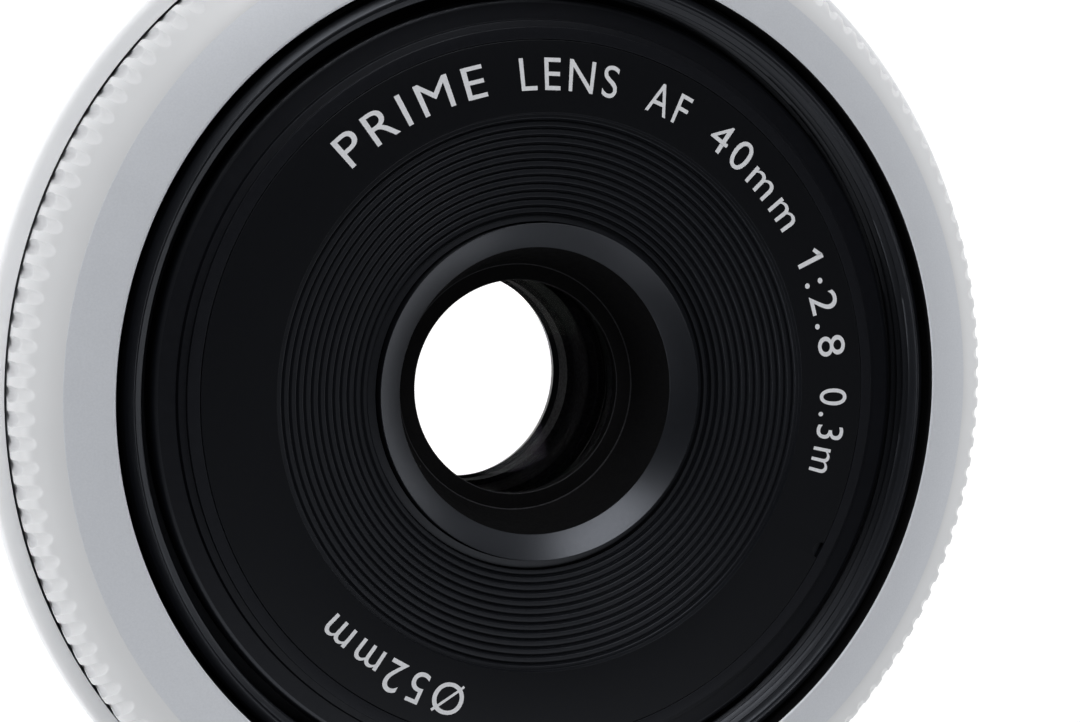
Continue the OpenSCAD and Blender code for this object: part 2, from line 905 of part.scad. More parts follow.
module focus_comb() {
    color(moulded_black)
    difference() {
        tube(comb_out_r, comb_in_r, comb_z0, ring_pocket_z);
        for (k = [0:comb_slots - 1])
            rotate([0, 0, k * 360 / comb_slots])
                translate([comb_in_r - 0.5, -0.8, comb_z0 - 1])
                    cube([2, 1.6, comb_slot_h + 1]);
    }
}

module photo_interrupters() {
    color(moulded_black)
    for (a = sensor_angles)
        difference() {
            arc(sensor_out_r, sensor_in_r, sensor_z0, sensor_top_z, a - sensor_half, a + sensor_half);
            arc(sensor_arm_out_r, sensor_arm_in_r, sensor_slot_z, sensor_top_z + 1,
                a - sensor_half - 1, a + sensor_half + 1);
        }
}

// ---------- electronics ----------

module main_board() {
    color(board_green)
    arc(board_out_r, board_in_r, board_z0, board_z1, board_from, board_from + board_span);
}

module board_chips() {
    color(moulded_black)
    for (a = chip_angles)
        at_polar(chip_r - chip_w / 2, a, board_z1)
            translate([0, -chip_w / 2, 0])
                cube([chip_w, chip_w, chip_h]);
}

module switch_base() {
    color(film_orange)
    union() {
        arc(switch_board_out_r, switch_board_in_r, switch_z - 1.6, switch_z + 1.6,
            switch_angle - switch_board_half, switch_angle + switch_board_half + switch_turn);
        for (a = [switch_angle - switch_board_half,
                  switch_angle + switch_board_half + switch_turn - 2 * switch_post_half])
            arc(barrel_in_r, switch_board_in_r, switch_z - 1.6, switch_z + 1.6, a, a + 2 * switch_post_half);
    }
}

module mode_switch() {
    color(shell_white)
    union() {
        arc(switch_plate_out_r, switch_plate_in_r,
            switch_z - switch_plate_h / 2, switch_z + switch_plate_h / 2,
            switch_angle - switch_plate_half, switch_angle + switch_plate_half);
        arc(switch_cap_r - 0.3, switch_plate_out_r - eps, switch_z - 1.0, switch_z + 1.0,
            switch_angle - switch_stem_half, switch_angle + switch_stem_half);
        arc(switch_cap_r, switch_recess_r + 0.1, switch_z - switch_cap_h / 2, switch_z + switch_cap_h / 2,
            switch_angle - switch_cap_half, switch_angle + switch_cap_half);
    }
}

// ---------- moving front barrel ----------

module front_barrel() {
    color(moulded_black)
    difference() {
        revolve(concat(
            [[skirt_in_r, skirt_z0], [skirt_r, skirt_z0], [skirt_r, nose_z - nose_round]],
            [for (a = [30:30:90]) [skirt_r - nose_round, nose_z - nose_round] + polar(nose_round, a)],
            [[thread_r + thread_lead, nose_z], [thread_r, nose_z - thread_lead], [thread_r, thread_floor_z],
             [land_r, thread_floor_z], [land_r, land_low_z],
             [land_step_r + thread_lead, land_mid_z], [land_step_r, land_mid_z],
             [land_step_r, name_face_z], [name_seat_r, name_face_z], [name_seat_r, name_seat_z],
             [web_in_r, name_seat_z], [web_in_r, web_z0], [skirt_in_r, web_z0]]));
        for (a = barrel_screw_angles)
            at_polar(barrel_screw_r, a, 0) {
                cylinder(r = barrel_shank_r, h = name_seat_z + 1);
                translate([0, 0, name_seat_z - 0.8])
                    cylinder(r = barrel_head_r + 0.1, h = 3);
            }
    }
}

module barrel_screws() {
    color(screw_dark)
    for (a = barrel_screw_angles)
        at_polar(barrel_screw_r, a, name_seat_z - 0.8)
            cap_screw(barrel_head_r, 0.6, barrel_shank_r, 4.2);
}

function funnel_z(r) = funnel_top_z - funnel_drop * (name_flat_r - r) / (name_flat_r - name_inner_r - 0.3);

module name_ring() {
    color(anodised_black)
    difference() {
        revolve(concat(
            [[name_inner_r, funnel_base_z], [name_inner_r + name_wall, funnel_base_z],
             [name_flat_r - 0.3, name_bottom_z],
             [name_r, name_bottom_z], [name_r, name_face_z], [name_flat_r, name_face_z]],
            [for (k = [0:ridge_count - 1]) let (r = name_flat_r - 0.05 - k * ridge_pitch)
                each [[r, funnel_z(r)], [r - ridge_pitch * ridge_share, funnel_z(r)],
                      [r - ridge_pitch * ridge_share - 0.05, funnel_z(r) - ridge_depth - 0.1]]],
            [[name_inner_r, funnel_z(name_inner_r + 0.3)]]));
        at_polar(name_r - 0.05, notch_angle, name_face_z - 0.3)
            cylinder(r = notch_r, h = 2);
    }
}

module front_retaining_ring() {
    color(anodised_black)
    revolve([[front_stop_r, collar_nose_z], [collar_nose_r, collar_nose_z], [collar_nose_r, collar_foot_z],
             [collar_r, collar_foot_z], [collar_r, collar_z], [collar_bore_r, collar_bore_z],
             [collar_throat_r, collar_ledge_z], [front_stop_r, collar_ledge_z]]);
}

module lens_carrier() {
    color(anodised_black)
    difference() {
        revolve([[carrier_web_r, carrier_z0], [carrier_r, carrier_z0], [carrier_r, web_z0],
                 [carrier_in_r, web_z0], [carrier_in_r, carrier_ledge_z], [carrier_ledge_r, carrier_ledge_z],
                 [carrier_ledge_r, carrier_ledge_z - 0.6], [carrier_in_r, carrier_ledge_z - 1.1],
                 [carrier_in_r, carrier_web_z], [carrier_web_r, carrier_web_z]]);
        for (a = follower_angles)
            rotate([0, 0, a])
                translate([follower_in_r, 0, follower_z])
                    rotate([0, 90, 0])
                        cylinder(r = follower_r, h = 3);
        for (a = barrel_screw_angles)
            at_polar(barrel_screw_r, a, web_z0 - 3)
                cylinder(r = barrel_shank_r, h = 4);
    }
}

module cam_followers() {
    color(brass_tone)
    for (a = follower_angles)
        rotate([0, 0, a])
            translate([follower_in_r, 0, follower_z])
                rotate([0, 90, 0])
                    cylinder(r = follower_r, h = follower_out_r - follower_in_r);
}

// ---------- optical cells and elements ----------

module front_cell() {
    color(anodised_black)
    revolve([[cell_small_bore_r, cell_z0], [cell_wall_r, cell_z0], [cell_wall_r, carrier_ledge_z],
             [cell_flange_r, carrier_ledge_z], [cell_flange_r, cell_flange_z1], [cell_cup_r, cell_flange_z1],
             [cell_cup_r, cell_cup_z], [cell_cup_in_r, cell_cup_z], [cell_cup_in_r, collar_foot_z - 0.05],
             [cell_bore_r, collar_foot_z - 0.05], [cell_bore_r, cell_step_z],
             [cell_small_bore_r, cell_step_z]]);
}

module rear_cell() {
    color(anodised_black)
    revolve([[rear_pocket_r, rear_cell_z0], [rear_cell_r, rear_cell_z0], [rear_cell_r, rear_flange_z0],
             [rear_flange_r, rear_flange_z0], [rear_flange_r, carrier_z0], [rear_neck_r, carrier_z0],
             [rear_neck_r, rear_cell_top_z], [rear_bore_r, rear_cell_top_z], [rear_bore_r, rear_seat_z],
             [rear_seat_r, rear_seat_z], [rear_seat_r, rear_pocket_z], [rear_pocket_r, rear_pocket_z]]);
}

module rear_retaining_ring() {
    color(anodised_black)
    tube(rear_pocket_r - 0.04, rear_stop_r, rear_ring_z0, rear_ring_z1);
}

module spacer_ring() {
    color(anodised_black)
    tube(cell_bore_r - 0.05, spacer_in_r + 0.3, cell_step_z, spacer_z1);
}

// Everything behind a surface that bulges to the front, vertex at z
module behind_front_bulge(z, radius) {
    translate([0, 0, z - radius])
        sphere(r = radius, $fn = sphere_fn);
}

// Everything in front of a surface that bulges to the back, vertex at z
module ahead_of_back_bulge(z, radius) {
    translate([0, 0, z + radius])
        sphere(r = radius, $fn = sphere_fn);
}

module blank(semi, z0, z1) {
    translate([0, 0, z0])
        cylinder(r = semi, h = z1 - z0);
}

// Front surface bulges forward, and the back surface curves the same way
module meniscus(semi, z_front, r_front, z_back, r_back) {
    difference() {
        intersection() {
            blank(semi, z_back - 4, z_front + 1);
            behind_front_bulge(z_front, r_front);
        }
        behind_front_bulge(z_back, r_back);
    }
}

module lens_1() {
    color(glass_tint)
    meniscus(lens_1_semi, s1_z, s1_radius, s2_z, s2_radius);
}

module lens_2() {
    color(glass_tint)
    meniscus(lens_2_semi, s3_z, s3_radius, s4_z, s4_radius);
}

module lens_3() {
    color(glass_tint)
    meniscus(lens_2_semi, s4_z, s4_radius, s5_z, s5_radius);
}

module lens_4() {
    color(glass_tint)
    difference() {
        blank(lens_4_semi, s7_z - 3, rear_cell_top_z - 0.1);
        ahead_of_back_bulge(s6_z, s6_radius);
        behind_front_bulge(s7_z, s7_radius);
    }
}

module lens_5() {
    color(glass_tint)
    intersection() {
        blank(lens_4_semi, s8_z, s7_z + 1);
        behind_front_bulge(s7_z, s7_radius);
        ahead_of_back_bulge(s8_z, s8_radius);
    }
}

module lens_6() {
    color(glass_tint)
    intersection() {
        blank(lens_6_semi, s10_z - 1, s9_z + 1);
        behind_front_bulge(s9_z, s9_radius);
        ahead_of_back_bulge(s10_z, s10_radius);
    }
}

// ---------- diaphragm ----------

module around_blades() {
    for (k = [0:blade_count - 1])
        rotate([0, 0, k * 360 / blade_count])
            children();
}

module diaphragm_base() {
    color(moulded_black)
    difference() {
        union() {
            tube(diaphragm_r, iris_opening_r, base_disc_z0, base_disc_z1);
            tube(diaphragm_r, diaphragm_r - diaphragm_wall, base_disc_z0, cover_z0);
            around_blades()
                translate([pivot_r, 0, base_disc_z0])
                    cylinder(r = post_pin_r, h = blade_z0 + blade_count * blade_pitch - base_disc_z0);
        }
        at_polar(iris_pinion_r, iris_motor_angle, base_disc_z1 + eps)
            cylinder(r = 2.2, h = 3);
    }
}

module diaphragm_cover() {
    color(moulded_black)
    difference() {
        tube(diaphragm_r, cover_opening_r, cover_z0, cover_z1);
        at_polar(iris_pinion_r, iris_motor_angle, 0)
            cylinder(r = 0.6, h = 12);
    }
}

module diaphragm_motor() {
    color(bare_metal)
    at_polar(iris_pinion_r, iris_motor_angle, iris_motor_z0)
        difference() {
            cylinder(r = iris_motor_r, h = iris_motor_z1 - iris_motor_z0);
            translate([0, 0, -1])
                cylinder(r = iris_shaft_r + 0.07, h = 2.5);
        }
}

module iris_pinion() {
    color(brass_tone)
    at_polar(iris_pinion_r, iris_motor_angle, iris_z0) {
        gear(iris_pinion_teeth, iris_module, iris_z1 - iris_z0, 180 + 180 / iris_pinion_teeth);
        cylinder(r = iris_shaft_r, h = 2.2);
    }
}

// Path of a blade's drive pin as the drive ring sees it, s from 0 (open) to 1 (closed)
function pin_path(s) =
    let (rest = polar(pivot_r, drive_angle) - [pivot_r, 0],
         now = turned(rest, blade_turn * s) + [pivot_r, 0])
    turned(now, -iris_turn * s);

module drive_slot() {
    steps = 10;
    path = [for (k = [0:steps]) pin_path(-0.03 + 1.06 * k / steps)];
    side = [for (k = [0:steps]) let (a = path[max(0, k - 1)], b = path[min(steps, k + 1)], d = b - a)
        [-d[1], d[0]] / norm(d) * drive_slot_half];
    translate([0, 0, iris_z0 - 1]) {
        linear_extrude(height = 3)
            polygon(concat([for (k = [0:steps]) path[k] + side[k]],
                           [for (k = [steps:-1:0]) path[k] - side[k]]));
        for (p = [path[0], path[steps]])
            translate([p[0], p[1], 0])
                cylinder(r = drive_slot_half, h = 3);
    }
}

module iris_ring() {
    tooth_step = 360 / iris_teeth;
    reach = round(iris_sector_half / tooth_step);
    first = -reach - round(iris_turn / tooth_step);
    color(anodised_black)
    difference() {
        union() {
            tube(iris_body_r, iris_in_r, iris_z0, iris_z1);
            translate([0, 0, iris_z0])
                linear_extrude(height = iris_z1 - iris_z0)
                    polygon(concat(
                        [for (k = [first:reach])
                            let (angle = iris_motor_angle + k * tooth_step)
                            each tooth_points(iris_teeth, iris_module, angle)],
                        [for (a = [reach * tooth_step:-4:first * tooth_step])
                            polar(iris_body_r - 0.6, iris_motor_angle + a)]));
        }
        around_blades()
            drive_slot();
    }
}

// One blade in its own layer, turned to its pivot
module iris_blade(number) {
    layer_z = blade_z0 + (number - 1) * blade_pitch;
    color(screw_dark)
    rotate([0, 0, (number - 1) * 360 / blade_count])
        difference() {
            union() {
                translate([0, 0, layer_z])
                    linear_extrude(height = blade_t)
                        union() {
                            polygon(concat([for (a = [4:4:blade_span]) polar(blade_out_r, a)],
                                           [for (a = [blade_span:-4:-4]) polar(blade_in_r, a)],
                                           [[pivot_r, -blade_boss_r]], [polar(pivot_r + 0.6, 1)]));
                            translate([pivot_r, 0])
                                circle(r = blade_boss_r);
                            translate(polar(pivot_r, drive_angle))
                                circle(r = blade_boss_r * 0.8);
                        }
                translate([polar(pivot_r, drive_angle)[0], polar(pivot_r, drive_angle)[1], layer_z])
                    cylinder(r = drive_pin_r, h = iris_z1 - layer_z);
            }
            translate([pivot_r, 0, 0])
                cylinder(r = blade_hole_r, h = 12);
        }
}

module iris_blade_1() { iris_blade(1); }
module iris_blade_2() { iris_blade(2); }
module iris_blade_3() { iris_blade(3); }
module iris_blade_4() { iris_blade(4); }
module iris_blade_5() { iris_blade(5); }
module iris_blade_6() { iris_blade(6); }
module iris_blade_7() { iris_blade(7); }

mount_bayonet();
mount_screws();
rear_baffle();
contact_block();
contact_pins();
contact_screws();
contact_flex();
fixed_barrel();
mount_index_dot();
base_plate();
base_screws();
guide_tube();
cam_retainer();
cam_ring();
final_gear();
idler_gear();
motor_pinion();
focus_motor();
gear_bracket();
gear_shafts();
focus_sleeve();
slide_washer();
snap_ring();
light_seal();
focus_ring();
front_trim_ring();
focus_comb();
photo_interrupters();
main_board();
board_chips();
switch_base();
mode_switch();
front_barrel();
barrel_screws();
name_ring();
front_retaining_ring();
front_cell();
lens_1();
lens_2();
lens_3();
lens_4();
lens_5();
lens_6();
spacer_ring();
lens_carrier();
cam_followers();
rear_cell();
rear_retaining_ring();
diaphragm_base();
diaphragm_cover();
diaphragm_motor();
iris_pinion();
iris_ring();
iris_blade_1();
iris_blade_2();
iris_blade_3();
iris_blade_4();
iris_blade_5();
iris_blade_6();
iris_blade_7();
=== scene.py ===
"""Looks of the pancake prime lens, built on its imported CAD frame.

Lengths are in millimetres until a mesh is made, and MM turns them into metres. Angles are in degrees
around the lens axis, from +X towards +Y. The lens lies on its back on a light table.
"""
import math

import bpy
from mathutils import Matrix, Vector


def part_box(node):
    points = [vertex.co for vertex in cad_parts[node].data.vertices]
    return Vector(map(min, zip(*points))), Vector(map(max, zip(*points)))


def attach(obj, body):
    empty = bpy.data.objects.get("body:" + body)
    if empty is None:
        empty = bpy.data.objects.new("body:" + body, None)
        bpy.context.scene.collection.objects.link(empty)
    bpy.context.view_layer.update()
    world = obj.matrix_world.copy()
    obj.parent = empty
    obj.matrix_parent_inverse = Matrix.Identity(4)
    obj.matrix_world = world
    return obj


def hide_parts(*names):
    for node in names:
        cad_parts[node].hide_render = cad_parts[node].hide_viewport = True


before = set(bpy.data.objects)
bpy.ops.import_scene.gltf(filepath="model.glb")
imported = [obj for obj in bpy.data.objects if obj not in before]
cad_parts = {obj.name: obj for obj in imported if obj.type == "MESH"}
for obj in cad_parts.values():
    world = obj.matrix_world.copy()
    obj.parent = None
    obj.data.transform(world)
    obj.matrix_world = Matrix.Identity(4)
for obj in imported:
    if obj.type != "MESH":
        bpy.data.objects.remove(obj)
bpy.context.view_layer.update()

MM = 0.001


# ---------- sizes ----------

def lowest(node):
    """Lowest z of a CAD node, in millimetres."""
    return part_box(node)[0][2] / MM


def highest(node):
    """Highest z of a CAD node, in millimetres."""
    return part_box(node)[1][2] / MM


def reach(node):
    """Largest x of a CAD node, in millimetres: the outer radius of a round one."""
    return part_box(node)[1][0] / MM


FRONT = highest("front_trim_ring")
BACK = lowest("rear_baffle")

# Fixed barrel
BARREL_R = 34.1
BARREL_IN_R = 33.05
BARREL_LIP_R = 32.93
BARREL_LIP = 0.3
BARREL_FLANGE_R = 32.6
BARREL_BORE_R = 24.3
BARREL_BOTTOM_Z = lowest("fixed_barrel")
BARREL_FLOOR_Z = 3.4
BARREL_TAPER_Z = 5.2
BARREL_RIM_Z = highest("fixed_barrel")
BARREL_RIM_ROUND = 1.0
DOT_SEAT_R = 1.1
DOT_SEAT_DEPTH = 0.5
DOT_Z = (lowest("mount_index_dot") + highest("mount_index_dot")) / 2

# Focus mode switch: its recess and window run from one angle to the other
SWITCH_Z = (lowest("mode_switch") + highest("mode_switch")) / 2
SWITCH_RECESS_R = 33.65
SWITCH_RECESS_HALF = 3
SWITCH_RECESS_ENDS = (7, 27.2)
SWITCH_WINDOW_HALF = 1.3
SWITCH_WINDOW_ENDS = (12.5, 21.7)
SWITCH_WORDS = [("AF", 9.7), ("MF", 24.5)]
SWITCH_WORD_HEIGHT = 1.2

# Focus ring: a bevel, a round shoulder and the grip with its grooves
GRIP_R = 32.8
GRIP_COUNT = 144
BEVEL_ANGLE = 31
BEVEL_FALL = math.tan(math.radians(BEVEL_ANGLE))
SHOULDER_R = 2.4
GROOVE_HALF = 0.47
GROOVE_DEPTH = 0.55
GROOVE_START_R = 31.45
GROOVE_SLOPE = 0.85
GROOVE_RISE = 0.18
GROOVE_ROUND = 0.42
TRIM_R = reach("front_trim_ring")
TRIM_IN_R = 27.1
TRIM_BOTTOM_Z = lowest("front_trim_ring")
BEVEL_TOP_Z = FRONT - 0.63
SHOULDER_IN_R = GRIP_R - SHOULDER_R * (1 - math.sin(math.radians(BEVEL_ANGLE)))
SHOULDER_TOP_Z = BEVEL_TOP_Z - (SHOULDER_IN_R - TRIM_R) * BEVEL_FALL
SHOULDER_FOOT_Z = SHOULDER_TOP_Z - SHOULDER_R * math.cos(math.radians(BEVEL_ANGLE))
GROOVE_START_Z = BEVEL_TOP_Z - (GROOVE_START_R - TRIM_R) * BEVEL_FALL
RING_Z = lowest("focus_ring")

# Moving front barrel, its filter thread and the land round the name ring
SKIRT_R = reach("front_barrel")
SKIRT_IN_R = 25.9
SKIRT_Z = lowest("front_barrel")
NOSE_Z = highest("front_barrel")
NOSE_FALL = 0.8
NOSE_MID_R = 26.62
THREAD_R = 26.0
THREAD_PITCH = 0.75
THREAD_DEPTH = 0.4
THREAD_FLOOR_Z = FRONT - 4.3
LAND_R = 24.95
LAND_Z = FRONT - 1.95
NAME_SEAT_Z = FRONT - 2.35

# Name ring with its funnel of ridges
NAME_R = reach("name_ring")
NAME_FLAT_R = 17.65
NAME_INNER_R = 10.95
NAME_FACE_Z = highest("name_ring")
NAME_RIM_Z = FRONT - 2.3
NAME_BOTTOM_Z = FRONT - 4.6
NOTCH_R = 0.55
NOTCH_ANGLE = -31
RIDGES = 13
RIDGE_PITCH = 0.485
RIDGE_DEPTH = 0.3
FUNNEL_TOP_Z = FRONT - 1.5
FUNNEL_DROP = 2.15
FUNNEL_END_R = NAME_INNER_R + 0.3

# Lettering: each word with the angles of its start and end
LETTER_FOOT_R = 19.05
LETTER_HEIGHT = 2.0
LETTER_GAP = 1.22
LETTERING = [("PRIME", 131.9, 102.3), ("LENS", 95.6, 76.7), ("AF", 70.3, 62.0), ("40mm", 55.9, 31.6),
             ("1:2.8", 24.2, 4.9), ("0.3m", -1.4, -17.9), ("Ø52mm", 251.3, 221.4)]

# Retaining ring: a bevelled collar, a step and the throat below it
COLLAR_R = 10.85
COLLAR_Z = highest("front_retaining_ring")
COLLAR_IN_R = 9.3
COLLAR_IN_Z = FRONT - 4.0
COLLAR_SEAT_Z = 15.0
STEP_R = 8.3
THROAT_R = 7.15
THROAT_Z = 14.2


# ---------- materials ----------

class Finish:
    """A procedural material: a Principled surface whose colour, roughness and relief come from noise."""

    def __init__(self, name, colour, rough, metal=0.0, specular=0.5):
        self.material = bpy.data.materials.new(name)
        self.material.use_nodes = True
        self.nodes = self.material.node_tree.nodes
        self.links = self.material.node_tree.links
        self.surface = self.nodes["Principled BSDF"]
        self.colour = colour
        self.rough = rough
        self.relief = None
        self.set("Base Color", (*colour, 1.0))
        self.set("Roughness", rough)
        self.set("Metallic", metal)
        self.set("Specular IOR Level", specular)
        self.place = self.nodes.new("ShaderNodeTexCoord").outputs["Object"]

    def set(self, socket, value):
        self.surface.inputs[socket].default_value = value

    def noise(self, size, detail=3.0, place=None):
        """Noise whose features are about size millimetres across."""
        node = self.nodes.new("ShaderNodeTexNoise")
        node.inputs["Scale"].default_value = 1.0 / (size * MM)
        node.inputs["Detail"].default_value = detail
        self.links.new(place or self.place, node.inputs["Vector"])
        return node.outputs["Fac"]

    def turned(self, width):
        """Fine lathe lines around the lens axis, about width millimetres apart."""
        flat = self.nodes.new("ShaderNodeVectorMath")
        flat.operation = "MULTIPLY"
        flat.inputs[1].default_value = (1.0, 1.0, 0.0)
        self.links.new(self.place, flat.inputs[0])
        radius = self.nodes.new("ShaderNodeVectorMath")
        radius.operation = "LENGTH"
        self.links.new(flat.outputs["Vector"], radius.inputs[0])
        apart = self.nodes.new("ShaderNodeSeparateXYZ")
        self.links.new(self.place, apart.inputs[0])
        joined = self.nodes.new("ShaderNodeCombineXYZ")
        self.links.new(radius.outputs["Value"], joined.inputs["X"])
        self.links.new(apart.outputs["Z"], joined.inputs["Y"])
        return self.noise(width, 4.0, joined.outputs["Vector"])

    def spread(self, source, low, high):
        """source, remapped from its usual 0.3 to 0.7 to run from low to high."""
        node = self.nodes.new("ShaderNodeMapRange")
        node.inputs["From Min"].default_value = 0.3
        node.inputs["From Max"].default_value = 0.7
        node.inputs["To Min"].default_value = low
        node.inputs["To Max"].default_value = high
        self.links.new(source, node.inputs["Value"])
        return node.outputs["Result"]

    def mottle(self, source, other):
        """The colour drifts between the base colour and other."""
        node = self.nodes.new("ShaderNodeMix")
        node.data_type = "RGBA"
        node.inputs["A"].default_value = (*self.colour, 1.0)
        node.inputs["B"].default_value = (*other, 1.0)
        self.links.new(self.spread(source, 0.0, 1.0), node.inputs["Factor"])
        self.links.new(node.outputs["Result"], self.surface.inputs["Base Color"])
        return self

    def haze(self, source, amount):
        """Roughness drifts by amount around its base value."""
        self.links.new(self.spread(source, self.rough - amount, self.rough + amount),
                       self.surface.inputs["Roughness"])
        return self

    def grain(self, source, height, strength=0.6):
        """Relief of about height millimetres, on top of any relief given before."""
        node = self.nodes.new("ShaderNodeBump")
        node.inputs["Strength"].default_value = strength
        node.inputs["Distance"].default_value = height * MM
        self.links.new(source, node.inputs["Height"])
        if self.relief:
            self.links.new(self.relief, node.inputs["Normal"])
        self.relief = node.outputs["Normal"]
        self.links.new(self.relief, self.surface.inputs["Normal"])
        return self


COOL_GLOSS = (0.84, 0.89, 1.0, 1.0)


def white_paint(name, tone):
    """Satin lacquer on a moulded shell, with a faint orange peel."""
    f = Finish(name, (tone, tone * 1.01, tone * 1.03), 0.36)
    f.mottle(f.noise(9.0), (tone * 0.97, tone * 0.98, tone))
    f.haze(f.noise(2.5), 0.05)
    f.grain(f.noise(0.35, 2.0), 0.004).grain(f.noise(0.06, 2.0), 0.0015)
    return f.material


def trim_grey():
    """Bluish grey satin lacquer with a fine metallic flake."""
    f = Finish("trim_grey", (0.60, 0.62, 0.66), 0.42, metal=0.1)
    f.mottle(f.noise(0.12), (0.56, 0.58, 0.62))
    f.haze(f.noise(1.5), 0.05)
    f.grain(f.turned(0.05), 0.002)
    return f.material


def moulded_black():
    """Glass-filled black plastic with the fine spark-eroded grain of its mould."""
    f = Finish("moulded_black", (0.003, 0.0032, 0.0045), 0.42, specular=0.24)
    f.set("Specular Tint", COOL_GLOSS)
    f.mottle(f.noise(0.4), (0.004, 0.0043, 0.006))
    f.haze(f.noise(0.3), 0.03)
    f.grain(f.noise(0.09, 4.0), 0.006)
    return f.material


def anodised_black(name, rough, specular, tone):
    """Satin black anodising over a turned surface."""
    f = Finish(name, (tone, tone * 1.1, tone * 1.5), rough, specular=specular)
    f.set("Specular Tint", COOL_GLOSS)
    f.mottle(f.noise(0.3), (tone * 1.3, tone * 1.45, tone * 2))
    f.haze(f.noise(0.2), 0.02)
    f.grain(f.turned(0.05), 0.0025).grain(f.noise(0.05, 2.0), 0.001)
    return f.material


def flat_black(name, tone, fleck):
    """Matt black paint inside the lens, which swallows stray light."""
    f = Finish(name, (tone, tone, tone * 1.1), 0.75, specular=0.06)
    f.mottle(f.noise(0.2, 4.0), (fleck, fleck, fleck * 1.1))
    f.haze(f.noise(0.5), 0.08)
    f.grain(f.noise(0.08, 4.0), 0.01)
    return f.material


def print_silver():
    """Silver-grey ink of the lettering."""
    f = Finish("print_silver", (0.72, 0.73, 0.76), 0.5)
    f.mottle(f.noise(0.15), (0.64, 0.65, 0.68))
    f.haze(f.noise(0.2), 0.06)
    f.grain(f.noise(0.05), 0.002)
    return f.material


def plated_brass():
    """Bright chrome over turned brass."""
    f = Finish("plated_brass", (0.72, 0.71, 0.69), 0.20, metal=1.0)
    f.mottle(f.noise(6.0), (0.66, 0.65, 0.63))
    f.haze(f.turned(0.12), 0.07)
    f.grain(f.turned(0.06), 0.0015).grain(f.noise(2.0), 0.002)
    return f.material


def metal(name, colour, other, rough):
    """Bare or plated metal with fine tool marks."""
    f = Finish(name, colour, rough, metal=1.0)
    f.mottle(f.noise(1.5), other)
    f.haze(f.noise(0.4), 0.06)
    f.grain(f.turned(0.08), 0.002).grain(f.noise(0.3), 0.002)
    return f.material


def plastic(name, colour, other, rough, size=0.2):
    """Moulded plastic, board or film with a fine surface grain."""
    f = Finish(name, colour, rough)
    f.mottle(f.noise(2.0), other)
    f.haze(f.noise(0.7), 0.05)
    f.grain(f.noise(size, 4.0), 0.006)
    return f.material


def felt():
    """Dense black felt: short fibres in every direction."""
    f = Finish("felt", (0.012, 0.012, 0.012), 0.95, specular=0.1)
    f.mottle(f.noise(0.2, 6.0), (0.03, 0.03, 0.03))
    f.haze(f.noise(0.3), 0.04)
    f.grain(f.noise(0.06, 8.0), 0.04, 0.9)
    return f.material


def board():
    """Circuit board: green mask over copper tracks that show as a lighter pattern."""
    f = Finish("board", (0.012, 0.10, 0.045), 0.35)
    cells = f.nodes.new("ShaderNodeTexVoronoi")
    cells.distance = "MANHATTAN"
    cells.feature = "F1"
    cells.inputs["Scale"].default_value = 1.0 / (1.4 * MM)
    f.links.new(f.place, cells.inputs["Vector"])
    f.mottle(cells.outputs["Distance"], (0.03, 0.22, 0.09))
    f.haze(f.noise(0.6), 0.05)
    f.grain(cells.outputs["Distance"], 0.02, 0.4)
    return f.material


def coated_glass(name, film):
    """Optical glass under an anti-reflection film, which leaves a faint reflection of that colour."""
    f = Finish(name, (1.0, 1.0, 1.0), 0.0)
    f.set("Transmission Weight", 1.0)
    f.set("IOR", 1.52)
    f.set("Specular Tint", film)
    f.grain(f.noise(6.0, 1.0), 0.0002, 0.1)
    return f.material


def light_table():
    """Opal acrylic lit from below, a little stronger under the lens, so that its bore shows white."""
    under, under_r = 1.15, 12
    around, around_r = 0.9, 20
    f = Finish("light_table", (0.3, 0.3, 0.3), 0.6)
    f.mottle(f.noise(60.0), (0.28, 0.28, 0.28))
    away = f.nodes.new("ShaderNodeVectorMath")
    away.operation = "LENGTH"
    f.links.new(f.place, away.inputs[0])
    glow = f.nodes.new("ShaderNodeMapRange")
    glow.inputs["From Min"].default_value = under_r * MM
    glow.inputs["From Max"].default_value = around_r * MM
    glow.inputs["To Min"].default_value = under
    glow.inputs["To Max"].default_value = around
    f.links.new(away.outputs["Value"], glow.inputs["Value"])
    f.links.new(glow.outputs["Result"], f.surface.inputs["Emission Strength"])
    f.set("Emission Color", (1.0, 1.0, 1.0, 1.0))
    return f.material


WHITE = white_paint("shell_white", 0.88)
GRIP_WHITE = white_paint("grip_white", 0.66)
TRIM = trim_grey()
BLACK = moulded_black()
SATIN = anodised_black("anodised_black", 0.40, 0.40, 0.003)
FACE = anodised_black("face_black", 0.42, 0.20, 0.0016)
COLLAR = anodised_black("collar_black", 0.34, 0.55, 0.003)
FLAT = flat_black("flat_black", 0.003, 0.005)
SPECKLED = flat_black("speckled_black", 0.02, 0.06)
# painted highlight: a lighter black for thin edge lines that stand in for light catching them
PAINTED_HIGHLIGHT_EDGE = flat_black("painted_highlight_edge", 0.02, 0.035)
INK = print_silver()
MARK = plastic("mark_ink", (0.03, 0.03, 0.035), (0.05, 0.05, 0.055), 0.5, 0.1)
CHROME = plated_brass()
STEEL = metal("blackened_steel", (0.10, 0.10, 0.11), (0.07, 0.07, 0.08), 0.38)
SPRING = metal("spring_steel", (0.55, 0.55, 0.56), (0.45, 0.45, 0.47), 0.3)
GOLD = metal("gold", (0.83, 0.61, 0.24), (0.78, 0.55, 0.20), 0.2)
BRASS = metal("brass", (0.70, 0.52, 0.25), (0.60, 0.43, 0.20), 0.3)
BLADE = metal("blade_steel", (0.05, 0.05, 0.055), (0.03, 0.03, 0.035), 0.45)
NYLON = plastic("nylon", (0.78, 0.76, 0.70), (0.72, 0.70, 0.63), 0.5)
FILM = plastic("film", (0.55, 0.25, 0.05), (0.45, 0.19, 0.03), 0.3)
CHIP = plastic("chip", (0.02, 0.02, 0.02), (0.03, 0.03, 0.03), 0.5, 0.1)
RED = plastic("red_mark", (0.62, 0.03, 0.02), (0.52, 0.02, 0.015), 0.4)
FELT = felt()
BOARD = board()
